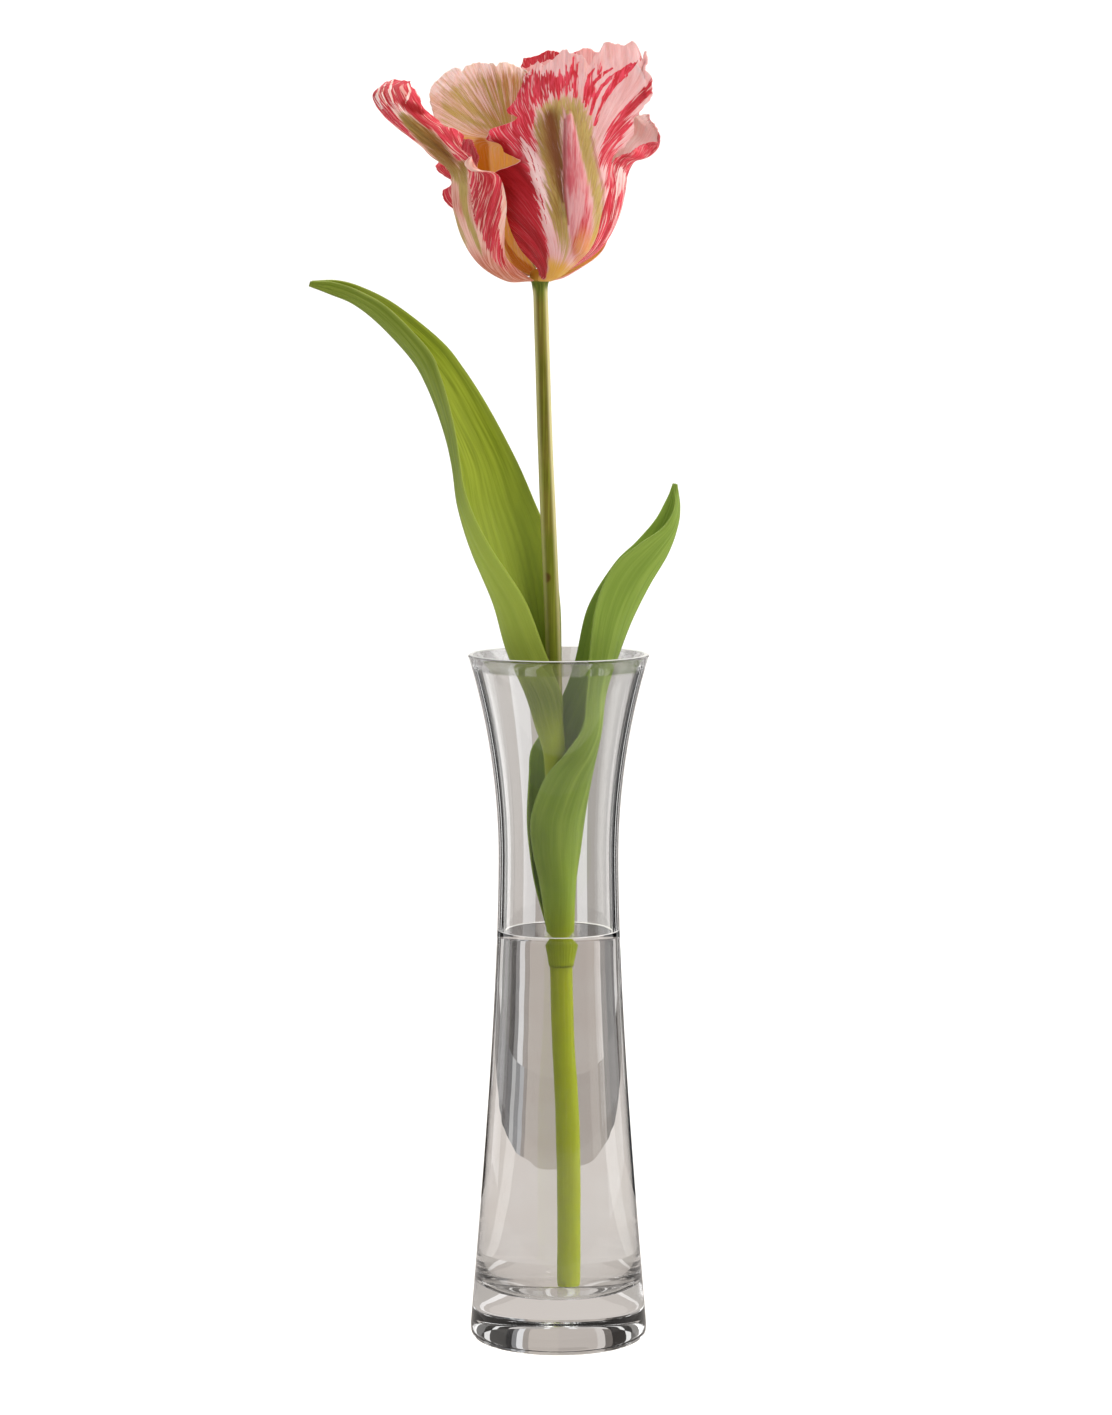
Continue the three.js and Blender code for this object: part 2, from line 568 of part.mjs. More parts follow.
const LIP = 1.2;
function vase() {
  const outside = [
    new THREE.Vector2(0, 0),
    new THREE.Vector2(FOOT_FLAT_RADIUS, 0),
    new THREE.Vector2(FOOT_FLAT_RADIUS + 2.0, 0.7),
    new THREE.Vector2(FOOT_RADIUS - 0.1, 2.6),
    new THREE.Vector2(FOOT_RADIUS, FOOT_CORNER_HEIGHT),
  ];
  const shoulders = [22, 45, 70, 97, 125, 152, WAIST_HEIGHT, 195, 212, 227, 239, VASE_HEIGHT - LIP];
  shoulders.forEach((z) => outside.push(new THREE.Vector2(outerRadius(z), z)));
  const lipMiddle = outerRadius(VASE_HEIGHT) - WALL_TOP / 2;
  outside.push(new THREE.Vector2(lipMiddle + 0.8, VASE_HEIGHT - 0.3));
  outside.push(new THREE.Vector2(lipMiddle, VASE_HEIGHT));
  outside.push(new THREE.Vector2(lipMiddle - 0.8, VASE_HEIGHT - 0.3));
  const inside = insideProfile(VASE_HEIGHT - LIP, 11, 0).reverse();
  return turned([...outside, ...inside]);
}

// The water fills the vase up to its level and leaves a hole for the stem and the lower leaf's sheath.
function water() {
  const profile = insideProfile(WATER_LEVEL, 7, GAP);
  profile.push(new THREE.Vector2(0, WATER_LEVEL));
  const body = solidOf(turned(profile));
  const sheathFoot = leaves.leaf_lower.stations[0][0][2] - 0.6;
  const clear = (z, radius) => {
    const [x, y] = along(stemLine, stemShare(z));
    return [x, y, z, radius];
  };
  const below = FLOOR_HEIGHT - 2;
  const hole = [
    [stemLine[0][0], 0, below, 3.5],
    ...[STEM_FOOT, 45, 70, 95, 118, sheathFoot].map((z) => clear(z, 3.5)),
    clear(sheathFoot + 0.05, 5.3),
    clear(WATER_LEVEL + 2, 6.1),
  ];
  return geometryFrom(body.subtract(solidOf(roundLoft(hole, 20))));
}

// Share of the way along the stem's line at which it passes a height.
function stemShare(z) {
  let [low, high] = [0, 1];
  for (let k = 0; k < 30; k++) {
    const middle = (low + high) / 2;
    if (along(stemLine, middle)[2] < z) low = middle;
    else high = middle;
  }
  return low;
}

// ---- materials and assembly ----------------------------------------------------------------------------------

const finish = (colour, roughness, extra = {}) => (
  new THREE.MeshStandardMaterial({ color: colour, roughness, metalness: 0, ...extra })
);
const glass = finish('#dfe3e2', 0.05, { transparent: true, opacity: 0.35 });
const clearWater = finish('#e6ecea', 0.03, { transparent: true, opacity: 0.3 });
const stemGreen = finish('#8f9a45', 0.5);
const leafGreen = finish('#86983f', 0.5);
const petalRose = finish('#d8546a', 0.45);
const petalBlush = finish('#e9b9ac', 0.45);
const pistilGreen = finish('#b9a95a', 0.6);

const flower = new THREE.Group();
function place(name, geometry, material) {
  const mesh = new THREE.Mesh(geometry, material);
  mesh.name = name;
  flower.add(mesh);
}

place('vase', vase(), glass);
place('water', water(), clearWater);
place('stem', stem, stemGreen);
Object.entries(leaves).forEach(([name, leaf]) => {
  place(name, sheet({ ...leaf, thickness: LEAF_THICKNESS }), leafGreen);
});
Object.entries(petals).forEach(([name, petal]) => {
  const material = name.startsWith('tepal_outer') ? petalRose : petalBlush;
  place(name, sheet({ ...petal, origin: BLOOM_SEAT, thickness: PETAL_THICKNESS }), material);
});
place('pistil_and_stamens', pistilAndStamens(), pistilGreen);

export default flower;
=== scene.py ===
"""Parrot tulip in a glass vase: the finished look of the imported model, as a Blender add-on.

Lengths in the tables below are millimetres in the model's own frame: +Z up, the vase's foot at the
origin, the flower's front towards -Y. Meshes are made in metres.
"""

import math

import bpy
import numpy as np
from bpy.props import FloatProperty, FloatVectorProperty, IntProperty, PointerProperty
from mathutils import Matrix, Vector


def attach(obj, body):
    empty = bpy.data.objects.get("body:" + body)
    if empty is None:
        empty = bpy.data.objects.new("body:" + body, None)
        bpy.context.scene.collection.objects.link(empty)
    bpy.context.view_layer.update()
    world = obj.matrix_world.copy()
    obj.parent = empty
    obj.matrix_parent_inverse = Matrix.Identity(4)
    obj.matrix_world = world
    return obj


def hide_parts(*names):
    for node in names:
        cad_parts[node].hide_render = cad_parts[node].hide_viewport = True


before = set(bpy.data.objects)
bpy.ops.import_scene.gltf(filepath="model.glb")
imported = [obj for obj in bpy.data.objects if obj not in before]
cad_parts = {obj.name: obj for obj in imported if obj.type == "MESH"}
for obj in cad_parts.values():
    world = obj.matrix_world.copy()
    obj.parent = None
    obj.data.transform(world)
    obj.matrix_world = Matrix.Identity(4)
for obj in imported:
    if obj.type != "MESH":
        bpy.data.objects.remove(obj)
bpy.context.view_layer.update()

bl_info = {
    "name": "Parrot tulip in a glass vase",
    "version": (1, 0, 0),
    "blender": (4, 5, 0),
    "location": "3D View > Sidebar > Tulip",
    "description": "Dresses a cut parrot tulip, its leaves, its water and its glass vase",
    "category": "Add Mesh",
}

MM = 0.001
BODY = "root"


# ---- colours and nodes ------------------------------------------------------------------------------


def linear(hex_colour):
    """Linear RGB of an sRGB hex colour."""
    parts = [int(hex_colour[k : k + 2], 16) / 255 for k in (1, 3, 5)]
    return [c / 12.92 if c <= 0.04045 else ((c + 0.055) / 1.055) ** 2.4 for c in parts]


def rgba(colour):
    """Four numbers for a colour socket, from a hex string or three linear numbers."""
    parts = linear(colour) if isinstance(colour, str) else list(colour)
    return (*parts[:3], 1.0)


MATHS = ("add", "subtract", "multiply", "divide", "modulo", "floor", "minimum", "maximum", "multiply_add")
# Plain names of the nodes used often: kind, inputs in order, the output that is read, and settings.
# "mix" mixes two colours, "tint" multiplies them, "ease" eases a value from one range to another.
KINDS = {
    **{name: ("ShaderNodeMath", (0, 1, 2), 0, {"operation": name.upper()}) for name in MATHS},
    "mix": ("ShaderNodeMix", (0, 6, 7), 2, {"data_type": "RGBA"}),
    "tint": ("ShaderNodeMix", (0, 6, 7), 2, {"data_type": "RGBA", "blend_type": "MULTIPLY"}),
    "mix values": ("ShaderNodeMix", (0, 2, 3), 0, {}),
    "ease": ("ShaderNodeMapRange", range(5), 0, {"interpolation_type": "SMOOTHSTEP"}),
    "noise": ("ShaderNodeTexNoise", ("Vector", "Scale", "Detail", "Roughness"), "Fac", {}),
    "bump": ("ShaderNodeBump", ("Height", "Strength", "Distance"), 0, {}),
    "value": ("ShaderNodeAttribute", (), "Fac", {}),
    "vector": ("ShaderNodeAttribute", (), "Vector", {}),
}


def node(tree, name, *values, out=0, **settings):
    """Adds a node with its settings, fills or links its inputs, and gives back one of its outputs.

    The name is a plain one from KINDS or a kind of node. Inputs come in order, or by name in a dict.
    """
    kind, slots, out, fixed = KINDS.get(name, (name, range(len(values)), out, {}))
    made = tree.nodes.new(kind)
    for key, value in {**fixed, **settings}.items():
        setattr(made, key, value)
    named = values and isinstance(values[0], dict)
    for slot, value in values[0].items() if named else zip(slots, values):
        socket = made.inputs[slot]
        if isinstance(value, bpy.types.NodeSocket):
            tree.links.new(value, socket)
        else:
            socket.default_value = rgba(value) if socket.type == "RGBA" else value
    return made.outputs[out] if made.outputs else None


def new_material(name):
    """An empty node material and its tree."""
    material = bpy.data.materials.new(name)
    material.use_nodes = True
    material.node_tree.nodes.clear()
    return material, material.node_tree


# ---- shapes -----------------------------------------------------------------------------------------


def bump(x, centre, width, blunt=2):
    """A bell of height 1, with a flatter top the blunter it is."""
    return np.exp(-(np.abs((x - centre) / width) ** blunt))


def smooth(low, high, x):
    """An eased step from 0 to 1."""
    share = np.clip((x - low) / (high - low), 0, 1)
    return share * share * (3 - 2 * share)


def along(rows, places):
    """Rows of numbers read at shares 0 to 1 by a Catmull-Rom spline through them."""
    rows = np.asarray(rows, float)
    last = len(rows) - 1
    rows = np.vstack([2 * rows[0] - rows[1], rows, 2 * rows[-1] - rows[-2]])
    place = np.clip(np.asarray(places, float), 0, 1) * last
    i = np.minimum(place.astype(int), last - 1)
    u = (place - i)[:, None]
    a, b, c, d = (rows[i + k] for k in range(4))
    return 0.5 * (
        2 * b + (c - a) * u + (2 * a - 5 * b + 4 * c - d) * u**2 + (3 * b - a - 3 * c + d) * u**3
    )


def unit(vectors):
    """Vectors of length 1."""
    return vectors / np.maximum(np.linalg.norm(vectors, axis=-1, keepdims=True), 1e-12)


def directions(grid):
    """Up, side and outward directions at each point of a sheet."""
    up = unit(np.gradient(grid, axis=0))
    side = unit(np.gradient(grid, axis=1))
    return up, side, unit(np.cross(side, up))


def ripple(x, seed, octaves=3):
    """A smooth seeded wiggle between about -1 and 1."""
    draw = np.random.default_rng(seed)
    total = np.zeros_like(x, dtype=float)
    for k in range(octaves):
        total += np.sin(x * (1.0 + 0.83 * k) + draw.uniform(0, 6.283)) / (k + 1)
    return total / 1.6


def painted(x, z, path, feather=1.0):
    """1 along a painted band of points [x, z, half width], 0.5 near its border, fading over the feather."""
    best = np.zeros_like(x)
    for (x0, z0, w0), (x1, z1, w1) in zip(path, path[1:]):
        dx, dz = x1 - x0, z1 - z0
        share = np.clip(((x - x0) * dx + (z - z0) * dz) / (dx * dx + dz * dz), 0, 1)
        gap = np.hypot(x - x0 - share * dx, z - z0 - share * dz)
        width = w0 + (w1 - w0) * share
        best = np.maximum(best, 1 - smooth(1 - 0.45 * feather, 1 + 0.4 * feather, gap / width))
    return best


def layered(x, z, layers):
    """The strongest of several painted bands at each point: each is a depth, a path and a feather."""
    return np.maximum.reduce([depth * painted(x, z, path, feather) for depth, path, feather in layers])


# Stations of each sheet: left edge, middle and right edge as seen from outside, and the wrap in degrees.
# The petals are measured from the bloom's seat, the leaves from the vase's foot. In the other lists
# hand is -1 on the left edge and 1 on the right, and places run from 0 to 1, or from -1 to 1 on a crown.
# edge_waves: hand, depth, count and phase. edge_lobes: hand, place, width, size and bluntness.
# crown_waves: depth, count and phase. crown_lobes: place, width and size.
# rolls: hand, start on the way to the edge, place, width and turn in degrees.
BLOOM_SEAT = np.array([-6.6, 0.0, 385.0])

PETALS = {
    "tepal_outer_front": {
        "stations": [
            [-0.6, -4.5, -1.6, 2, -4.4, -1.6, 4, -3, -1.6, 40],
            [-0.8, -10.5, 2.6, 5.5, -12.5, 0.6, 10, -8.5, 2.4, 60],
            [-7, -16, 9.7, 9.6, -22.5, 9.5, 18, -13.5, 10.5, 65],
            [-11.2, -19.5, 20, 11.2, -28, 21, 22, -18.5, 22, 65],
            [-13.5, -20.5, 31, 11.4, -29.5, 31, 23.5, -19.5, 32, 60],
            [-13.5, -21.5, 39, 11, -29.5, 40, 27, -19.5, 41.5, 50],
            [-12.5, -23.5, 48, 10.4, -28.5, 49, 32, -19, 50, 42],
            [-9.5, -25, 56.5, 9.8, -27.5, 58, 36.5, -20, 58.5, 35],
            [-7.5, -26, 63.5, 9.5, -27.5, 67, 39, -22, 68, 30],
            [-5, -27, 69, 9.6, -29, 75.5, 37.5, -25, 77, 25],
        ],
        "edge_waves": [(-1, 0.8, 4, 0.5), (1, 1.2, 4.5, 2)],
        "crown_waves": [(0.5, 6, 0.3)],
        "edge_lobes": [
            (-1, 0.505, 0.03, 2.5), (-1, 0.565, 0.028, -9), (-1, 0.685, 0.038, 7.5, 4),
            (-1, 0.75, 0.018, -3.5), (-1, 0.795, 0.028, 2), (1, 0.72, 0.03, -1.5), (1, 0.82, 0.03, 1.5),
            (1, 0.93, 0.018, -2.2),
        ],
        "crown_lobes": [
            (-0.62, 0.1, 2), (-0.4, 0.05, -0.8), (-0.05, 0.14, 3), (0.03, 0.025, -0.8), (0.31, 0.05, -4),
            (0.56, 0.085, 3.9), (0.69, 0.07, 2.6), (0.8, 0.06, 2.4), (0.875, 0.05, 3.6), (0.945, 0.022, -3),
            (0.99, 0.02, 0.8),
        ],
        "rolls": [(-1, 0.7, 0.685, 0.035, 75)],
    },
    "tepal_outer_left": {
        "stations": [
            [-4.5, -0.4, -1.6, -3.8, -2.6, -1.6, -2.2, -4.1, -1.6, 40],
            [-12, 0, -0.2, -11, -7.5, -1.4, -6.5, -10.5, 1.4, 60],
            [-21.5, -2, 5, -18.5, -14, 4, -12, -18.5, 7, 65],
            [-27.5, -3, 14, -22.7, -18.5, 13.5, -12.2, -24, 16, 65],
            [-30, -4, 23, -25, -20, 23, -11.8, -25.5, 26, 65],
            [-30.8, -5, 31, -25.8, -20, 31, -14, -26, 35, 60],
            [-32.5, -8, 37.5, -28, -19.5, 37.5, -20, -24.5, 40.5, 55],
            [-37.5, -11, 42, -35, -18.5, 44, -27, -19, 45, 50],
            [-45.5, -13, 48.5, -43, -18.5, 50, -31, -15.5, 52, 50],
            [-53.5, -14, 55.5, -50.5, -18, 57, -39.5, -14, 57, 60],
            [-58.5, -12, 62.5, -55, -16, 64.5, -44, -13, 65.5, 60],
            [-54.5, -9, 67.5, -50.5, -10, 68.5, -46, -11, 67.5, 50],
        ],
        "edge_waves": [(-1, 0.5, 5, 1), (1, 1, 6, 1)],
        "edge_lobes": [
            (1, 0.55, 0.025, 1.5), (1, 0.62, 0.018, -1.2), (1, 0.68, 0.025, 2), (1, 0.735, 0.018, -2),
            (1, 0.79, 0.022, 1.2), (1, 0.84, 0.016, -1.2),
        ],
        "rolls": [(1, 0.45, 0.53, 0.045, 200)],
    },
    "tepal_outer_back": {
        "stations": [
            [4.2, 2.4, -1.6, 2.2, 4.2, -1.6, -0.2, 4.8, -1.6, 40],
            [11.5, 8.5, 1.4, 6.5, 12.3, 0.2, 0, 13.5, 1.4, 60],
            [22, 15, 9, 12, 22.5, 8.5, 0, 25, 9.5, 60],
            [27, 18.5, 21, 15, 28, 21, -1, 31, 21, 60],
            [29.5, 20.5, 33, 16, 30.5, 34, -3, 34, 33, 55],
            [32, 22.5, 46, 17, 31.5, 48, -6, 35, 46, 50],
            [35, 24.5, 59, 18, 33, 61, -9, 36, 59, 45],
            [36, 26.5, 69, 19, 35, 72, -9, 37, 69, 35],
            [31, 30, 77, 19, 37, 81, -6, 38, 79, 25],
        ],
        "edge_waves": [(-1, 1, 4, 2.5), (1, 1, 4, 0.5)],
        "crown_waves": [(1.2, 7, 2)],
        "crown_lobes": [
            (0.7, 0.12, 1.6), (0.38, 0.08, -1.2), (0.1, 0.14, 1.6), (-0.3, 0.1, -1.2), (-0.7, 0.1, 1.2),
        ],
    },
    "tepal_inner_right": {
        "stations": [
            [3.7, -1.9, 0.3, 4.2, 0, 0.3, 3.7, 1.9, 0.3, 40],
            [9, -6, 3.2, 11, 0, 2.8, 9, 6, 3.2, 60],
            [16, -11.5, 10, 21, -1, 9.5, 17, 11, 11, 65],
            [20.5, -14.5, 20, 27, -1.5, 19, 22, 14, 21, 65],
            [22, -15.5, 30, 29.8, -2, 29, 24, 16, 31, 65],
            [24, -15.5, 37.5, 30.9, -2.5, 36, 26, 15, 40, 60],
            [28.5, -14.5, 42, 33.8, -3, 41.3, 30, 12, 50, 55],
            [33.5, -13, 43.2, 38.8, -3.5, 43.8, 33, 8, 55, 55],
            [38, -11, 43.8, 41.5, -3.5, 47, 36, 5, 57, 50],
            [41.5, -8, 45.5, 42, -3, 50, 38.5, 1, 56, 40],
        ],
        "edge_waves": [(-1, 0.8, 4, 2), (1, 1.2, 4, 2)],
        "crown_lobes": [(0.9, 0.2, -1.5), (-0.2, 0.3, 1)],
        "rolls": [(-1, 0.55, 0.92, 0.12, -110)],
    },
    "tepal_inner_back": {
        "stations": [
            [-0.8, 4.1, 0.3, -2.4, 3.4, 0.3, -3.7, 2, 0.3, 40],
            [-1.5, 9.8, 3.2, -6.2, 9.2, 2.8, -9.8, 5.6, 3.2, 60],
            [0, 19, 10.5, -12, 17.5, 9, -19, 9.5, 10.5, 60],
            [4, 24, 20, -15.5, 22.5, 20, -24.8, 12.5, 20, 60],
            [6, 26, 32, -17, 24.5, 32, -27, 13.5, 31, 55],
            [6, 28, 44, -18.5, 26, 44, -30, 14.5, 42, 50],
            [4, 30, 56, -20, 27.5, 56, -35, 16.5, 52, 40],
            [1, 32, 67, -20, 29, 68, -39.2, 18.5, 62.5, 35],
            [-6, 33, 75, -19.5, 31, 76.5, -35.5, 21, 72.5, 25],
        ],
        "edge_waves": [(-1, 1, 4, 0.5), (1, 1, 4, 1.5)],
        "crown_waves": [(1.2, 7, 0.5)],
        "crown_lobes": [
            (1, 0.14, -3.5), (0.8, 0.12, 1), (0.56, 0.05, -1.8), (0.2, 0.2, 1), (-0.22, 0.05, -1.4),
            (-0.6, 0.2, 1), (-1, 0.14, -1.2),
        ],
    },
    "tepal_inner_left": {
        "stations": [
            [-4, 0.6, 0.3, -4.1, -0.7, 0.3, -3.6, -2.1, 0.3, 40],
            [-9.8, 2.2, 3.2, -10.6, -1.5, 2.8, -9, -6.2, 3.2, 60],
            [-17.5, 6.5, 10, -19.5, -1, 9.5, -16, -10.5, 10, 60],
            [-24.5, 9, 18, -25, -0.5, 18, -20, -13.5, 18, 60],
            [-32.5, 8, 25, -26.2, 0, 25.5, -21.2, -14, 25, 55],
            [-34.8, 7.5, 30, -26.9, 0.3, 31, -21.6, -14, 30, 55],
            [-31.8, 8.5, 34, -27.2, 1.2, 35, -21.7, -13, 34, 50],
            [-37.2, 7, 38.5, -27.4, 2, 39, -22, -11, 38.5, 45],
            [-34, 8.5, 43, -27, 3, 44, -22.5, -8.5, 43, 40],
            [-30, 8.5, 48, -26.5, 4, 48.5, -24, -3, 48, 30],
        ],
        "edge_waves": [(-1, 1, 4.5, 0), (1, 0.5, 3, 1)],
    },
}

LEAVES = {
    "leaf_upper": {
        "stations": [
            [2.6, 2.1, 205, -4.6, 0, 205, 2.6, -2.1, 205, 150],
            [2.4, 2.3, 215, -5.2, 0, 215, 2.4, -2.3, 215, 150],
            [0.8, 3.4, 225, -8, 0, 224, 1.5, -3.4, 225.5, 140],
            [1, 5, 235, -11.5, 0, 235.5, 1, -5, 236, 120],
            [1, 5.5, 251, -18, 1, 251, -5, -8, 252, 105],
            [0.5, 6, 269, -22, 1, 268, -12, -12, 270, 90],
            [-2.5, 7, 288.5, -28, 2, 286.5, -23.5, -14, 288, 75],
            [-9, 8, 305, -32, 3, 302, -31.5, -15, 304, 65],
            [-16, 9, 321, -34.5, 3, 317.5, -35.5, -15, 319.5, 60],
            [-26, 9, 339.5, -40.5, 2, 333.5, -37.5, -14, 336, 60],
            [-34, 8, 352, -46.5, 1, 347, -41.5, -12, 349, 60],
            [-42, 6, 362, -52.5, 0, 356.5, -46.5, -11, 359, 60],
            [-57.5, 3, 374.5, -63.5, -2, 368.5, -59.5, -9, 373, 60],
            [-68.5, -1, 380.5, -72.5, -3.5, 375.5, -69.5, -8, 379.5, 55],
            [-78.5, -4, 383.5, -81, -5, 379, -79.5, -7.5, 382.5, 50],
            [-87.5, -5.6, 383.2, -88.5, -6, 381.8, -88, -7, 383, 40],
        ],
        "edge_waves": [(-1, 0.4, 5, 0), (1, 0.4, 5, 0)],
    },
    "leaf_lower": {
        "stations": [
            [-2.4, -1.4, 137, 3.9, 0, 137, -2.4, 1.4, 137, 155],
            [-4, -2.2, 149, 5.2, 0, 149, -4, 2.2, 149, 155],
            [-6.5, -5.5, 167, 5.6, 0, 166.5, -8.5, 5, 165.5, 150],
            [-9, -7.5, 180, 7.5, 0, 179.5, -10.5, 5.5, 178, 145],
            [-9.5, -9, 192.5, 9, 0, 191.5, -11.5, 6, 190.5, 135],
            [-5, -10, 206, 11, 0, 205, -11, 7, 205, 120],
            [2.5, -11, 215.5, 12, 0, 214.5, -10, 7.5, 214.5, 100],
            [8.5, -11, 225, 13.5, 0, 223.5, -5, 7.5, 222.5, 85],
            [10, -11, 236.5, 16, 0, 235.5, 1.5, 7, 234.5, 75],
            [11, -10, 249.5, 20, 0, 247, 6, 7, 247, 70],
            [13, -9, 267, 25.5, 1, 261.5, 10.5, 7, 266, 65],
            [19.5, -7, 281.5, 32, 2, 274.5, 20, 6, 282, 60],
            [28.5, -5, 289.5, 38.5, 3, 285.5, 28, 5, 290, 55],
            [38, -3, 296, 42, 3, 295, 34, 4.5, 297, 50],
            [41.5, -1, 303, 43, 3, 302.5, 38.5, 3.5, 304.5, 45],
            [41.5, 1.3, 311, 42.2, 2, 310.6, 41.2, 2.7, 311, 40],
        ],
        "edge_waves": [(-1, 0.4, 5, 1), (1, 0.4, 5, 1)],
    },
}


def sheet_grid(sheet, rows, columns):
    """The sheet's middle surface with its ruffles and lobes, and its s and t at each point."""
    s_line = np.linspace(0, 1, rows + 1)
    t_line = np.linspace(-1, 1, columns + 1)
    s, t = np.meshgrid(s_line, t_line, indexing="ij")
    row = along(sheet["stations"], s_line)[:, None, :]
    left, middle, right = row[..., 0:3], row[..., 3:6], row[..., 6:9]
    wrap = np.radians(row[..., 9:10])
    across = np.sin(wrap * t[..., None]) / np.sin(wrap)
    inward = (1 - np.cos(wrap * t[..., None])) / (1 - np.cos(wrap))
    grid = middle + (right - left) / 2 * across + ((left + right) / 2 - middle) * inward
    up, side, out = directions(grid)
    edge = np.abs(t)
    waves = np.zeros_like(s)
    sideways = np.zeros_like(s)
    for hand, depth, count, phase in sheet["edge_waves"]:
        waves += np.where(t * hand > 0, depth * np.sin(2 * math.pi * count * s + phase), 0)
    for hand, at, width, size, *blunt in sheet.get("edge_lobes", []):
        sideways += np.where(t * hand > 0, size * bump(s, at, width, *blunt) * edge**4 * hand, 0)
    crown = np.zeros_like(s)
    for depth, count, phase in sheet.get("crown_waves", []):
        crown += depth * np.sin(count * t + phase)
    upwards = np.zeros_like(s)
    for at, width, size in sheet.get("crown_lobes", []):
        upwards += size * bump(t, at, width)
    upwards = upwards * smooth(0.72, 1, s)
    outwards = waves * edge**2.5 * smooth(0.12, 0.5, s) + crown * smooth(0.6, 1, s)
    grid = grid + out * outwards[..., None]
    grid = grid + up * upwards[..., None]
    grid = grid + side * sideways[..., None]
    for turned in sheet.get("rolls", []):
        grid = rolled(grid, s_line, t_line, *turned)
    half_width = np.linalg.norm(np.diff(grid, axis=1), axis=2).sum(axis=1)[:, None] / 2
    length = np.linalg.norm(np.diff(grid[:, columns // 2], axis=0), axis=1).sum()
    return grid, s, t, s + upwards / length, t + sideways / half_width


def rolled(grid, s_line, t_line, hand, start, at, width, turn):
    """Rolls the margin over: from the line t = start out to the edge, by turn degrees at s = at."""
    line = grid if hand > 0 else grid[:, ::-1]
    places = t_line if hand > 0 else -t_line[::-1]
    k = int(np.searchsorted(places, start))
    steps = np.linalg.norm(np.diff(line[:, k:], axis=1), axis=2)
    reach = np.concatenate([np.zeros((len(line), 1)), np.cumsum(steps, axis=1)], axis=1)
    _, side, out = directions(line)
    out = out * hand
    bend = np.radians(turn) * bump(s_line, at, width)[:, None] / reach[:, -1:]
    bend = np.where(np.abs(bend) < 1e-5, 1e-5, bend)
    sideways = np.sin(bend * reach) / bend - reach
    outwards = (1 - np.cos(bend * reach)) / bend
    shifted = line.copy()
    shifted[:, k:] += side[:, k : k + 1] * sideways[..., None] + out[:, k : k + 1] * outwards[..., None]
    return shifted if hand > 0 else shifted[:, ::-1]


def two_faced(name, grid, half, attributes, uv):
    """A closed thin solid round a grid of points. half is half its thickness at each point.

    attributes maps a name to its values on the outer and the inner face.
    """
    _, _, out = directions(grid)
    rows, columns = grid.shape[:2]
    count = rows * columns
    points = np.concatenate(
        [(grid + out * half[..., None]).reshape(-1, 3), (grid - out * half[..., None]).reshape(-1, 3)]
    )
    ids = np.arange(count).reshape(rows, columns)
    a, b, c, d = ids[:-1, :-1], ids[:-1, 1:], ids[1:, 1:], ids[1:, :-1]
    front = np.stack([a, b, c, d], -1).reshape(-1, 4)
    behind = np.stack([a, d, c, b], -1).reshape(-1, 4) + count
    rim = np.concatenate([ids[0, :-1], ids[:-1, -1], ids[-1, :0:-1], ids[:0:-1, 0]])
    ahead = np.roll(rim, -1)
    border = np.stack([rim, rim + count, ahead + count, ahead], -1)
    faces = np.concatenate([front, behind, border])
    mesh = bpy.data.meshes.new(name)
    mesh.vertices.add(len(points))
    mesh.vertices.foreach_set("co", (points * MM).astype(np.float32).ravel())
    mesh.loops.add(faces.size)
    mesh.loops.foreach_set("vertex_index", faces.astype(np.int32).ravel())
    mesh.polygons.add(len(faces))
    mesh.polygons.foreach_set("loop_start", np.arange(0, faces.size, 4, dtype=np.int32))
    mesh.update(calc_edges=True)
    mesh.polygons.foreach_set("use_smooth", np.ones(len(faces), bool))
    for title, (outer, inner) in attributes.items():
        kind, field = ("FLOAT_VECTOR", "vector") if outer.ndim == 3 else ("FLOAT", "value")
        layer = mesh.attributes.new(title, kind, "POINT")
        values = np.concatenate([outer.reshape(count, -1), inner.reshape(count, -1)])
        layer.data.foreach_set(field, values.astype(np.float32).ravel())
    # The outer face fills the left half of the UV square, the inner face the right half.
    flat = uv.reshape(-1, 2) * (0.48, 0.98)
    flat = np.concatenate([flat, flat + (0.51, 0)])
    layer = mesh.uv_layers.new(name="sheet")
    layer.data.foreach_set("uv", flat[faces.ravel()].astype(np.float32).ravel())
    mesh.validate()
    made = bpy.data.objects.new(name, mesh)
    bpy.context.scene.collection.objects.link(made)
    return made


def finished(piece, material, slot, *nodes):
    """Gives a piece its material, puts it on the body and lets it stand for its CAD node."""
    piece.data.materials.clear()
    piece.data.materials.append(material)
    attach(piece, BODY)
    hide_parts(*nodes)


# ---- geometry nodes ---------------------------------------------------------------------------------


def new_tree(name, **defaults):
    """A geometry node tree, with the outputs of its input node. Each named input has its type and default."""
    tree = bpy.data.node_groups.new(name, "GeometryNodeTree")
    tree.interface.new_socket("Geometry", in_out="OUTPUT", socket_type="NodeSocketGeometry")
    for title, (kind, default) in defaults.items():
        socket = tree.interface.new_socket(
            title.replace("_", " "), in_out="INPUT", socket_type="NodeSocket" + kind
        )
        if default is not None:
            socket.default_value = default
    return tree, tree.nodes.new("NodeGroupInput").outputs


def closing(tree, shape, finish):
    """The end of every tree: smooth faces, real copies and the material."""
    smoothed = node(tree, "GeometryNodeSetShadeSmooth", shape)
    real = node(tree, "GeometryNodeRealizeInstances", smoothed)
    dressed = node(tree, "GeometryNodeSetMaterial", {"Geometry": real, "Material": finish})
    node(tree, "NodeGroupOutput", dressed)
    return tree


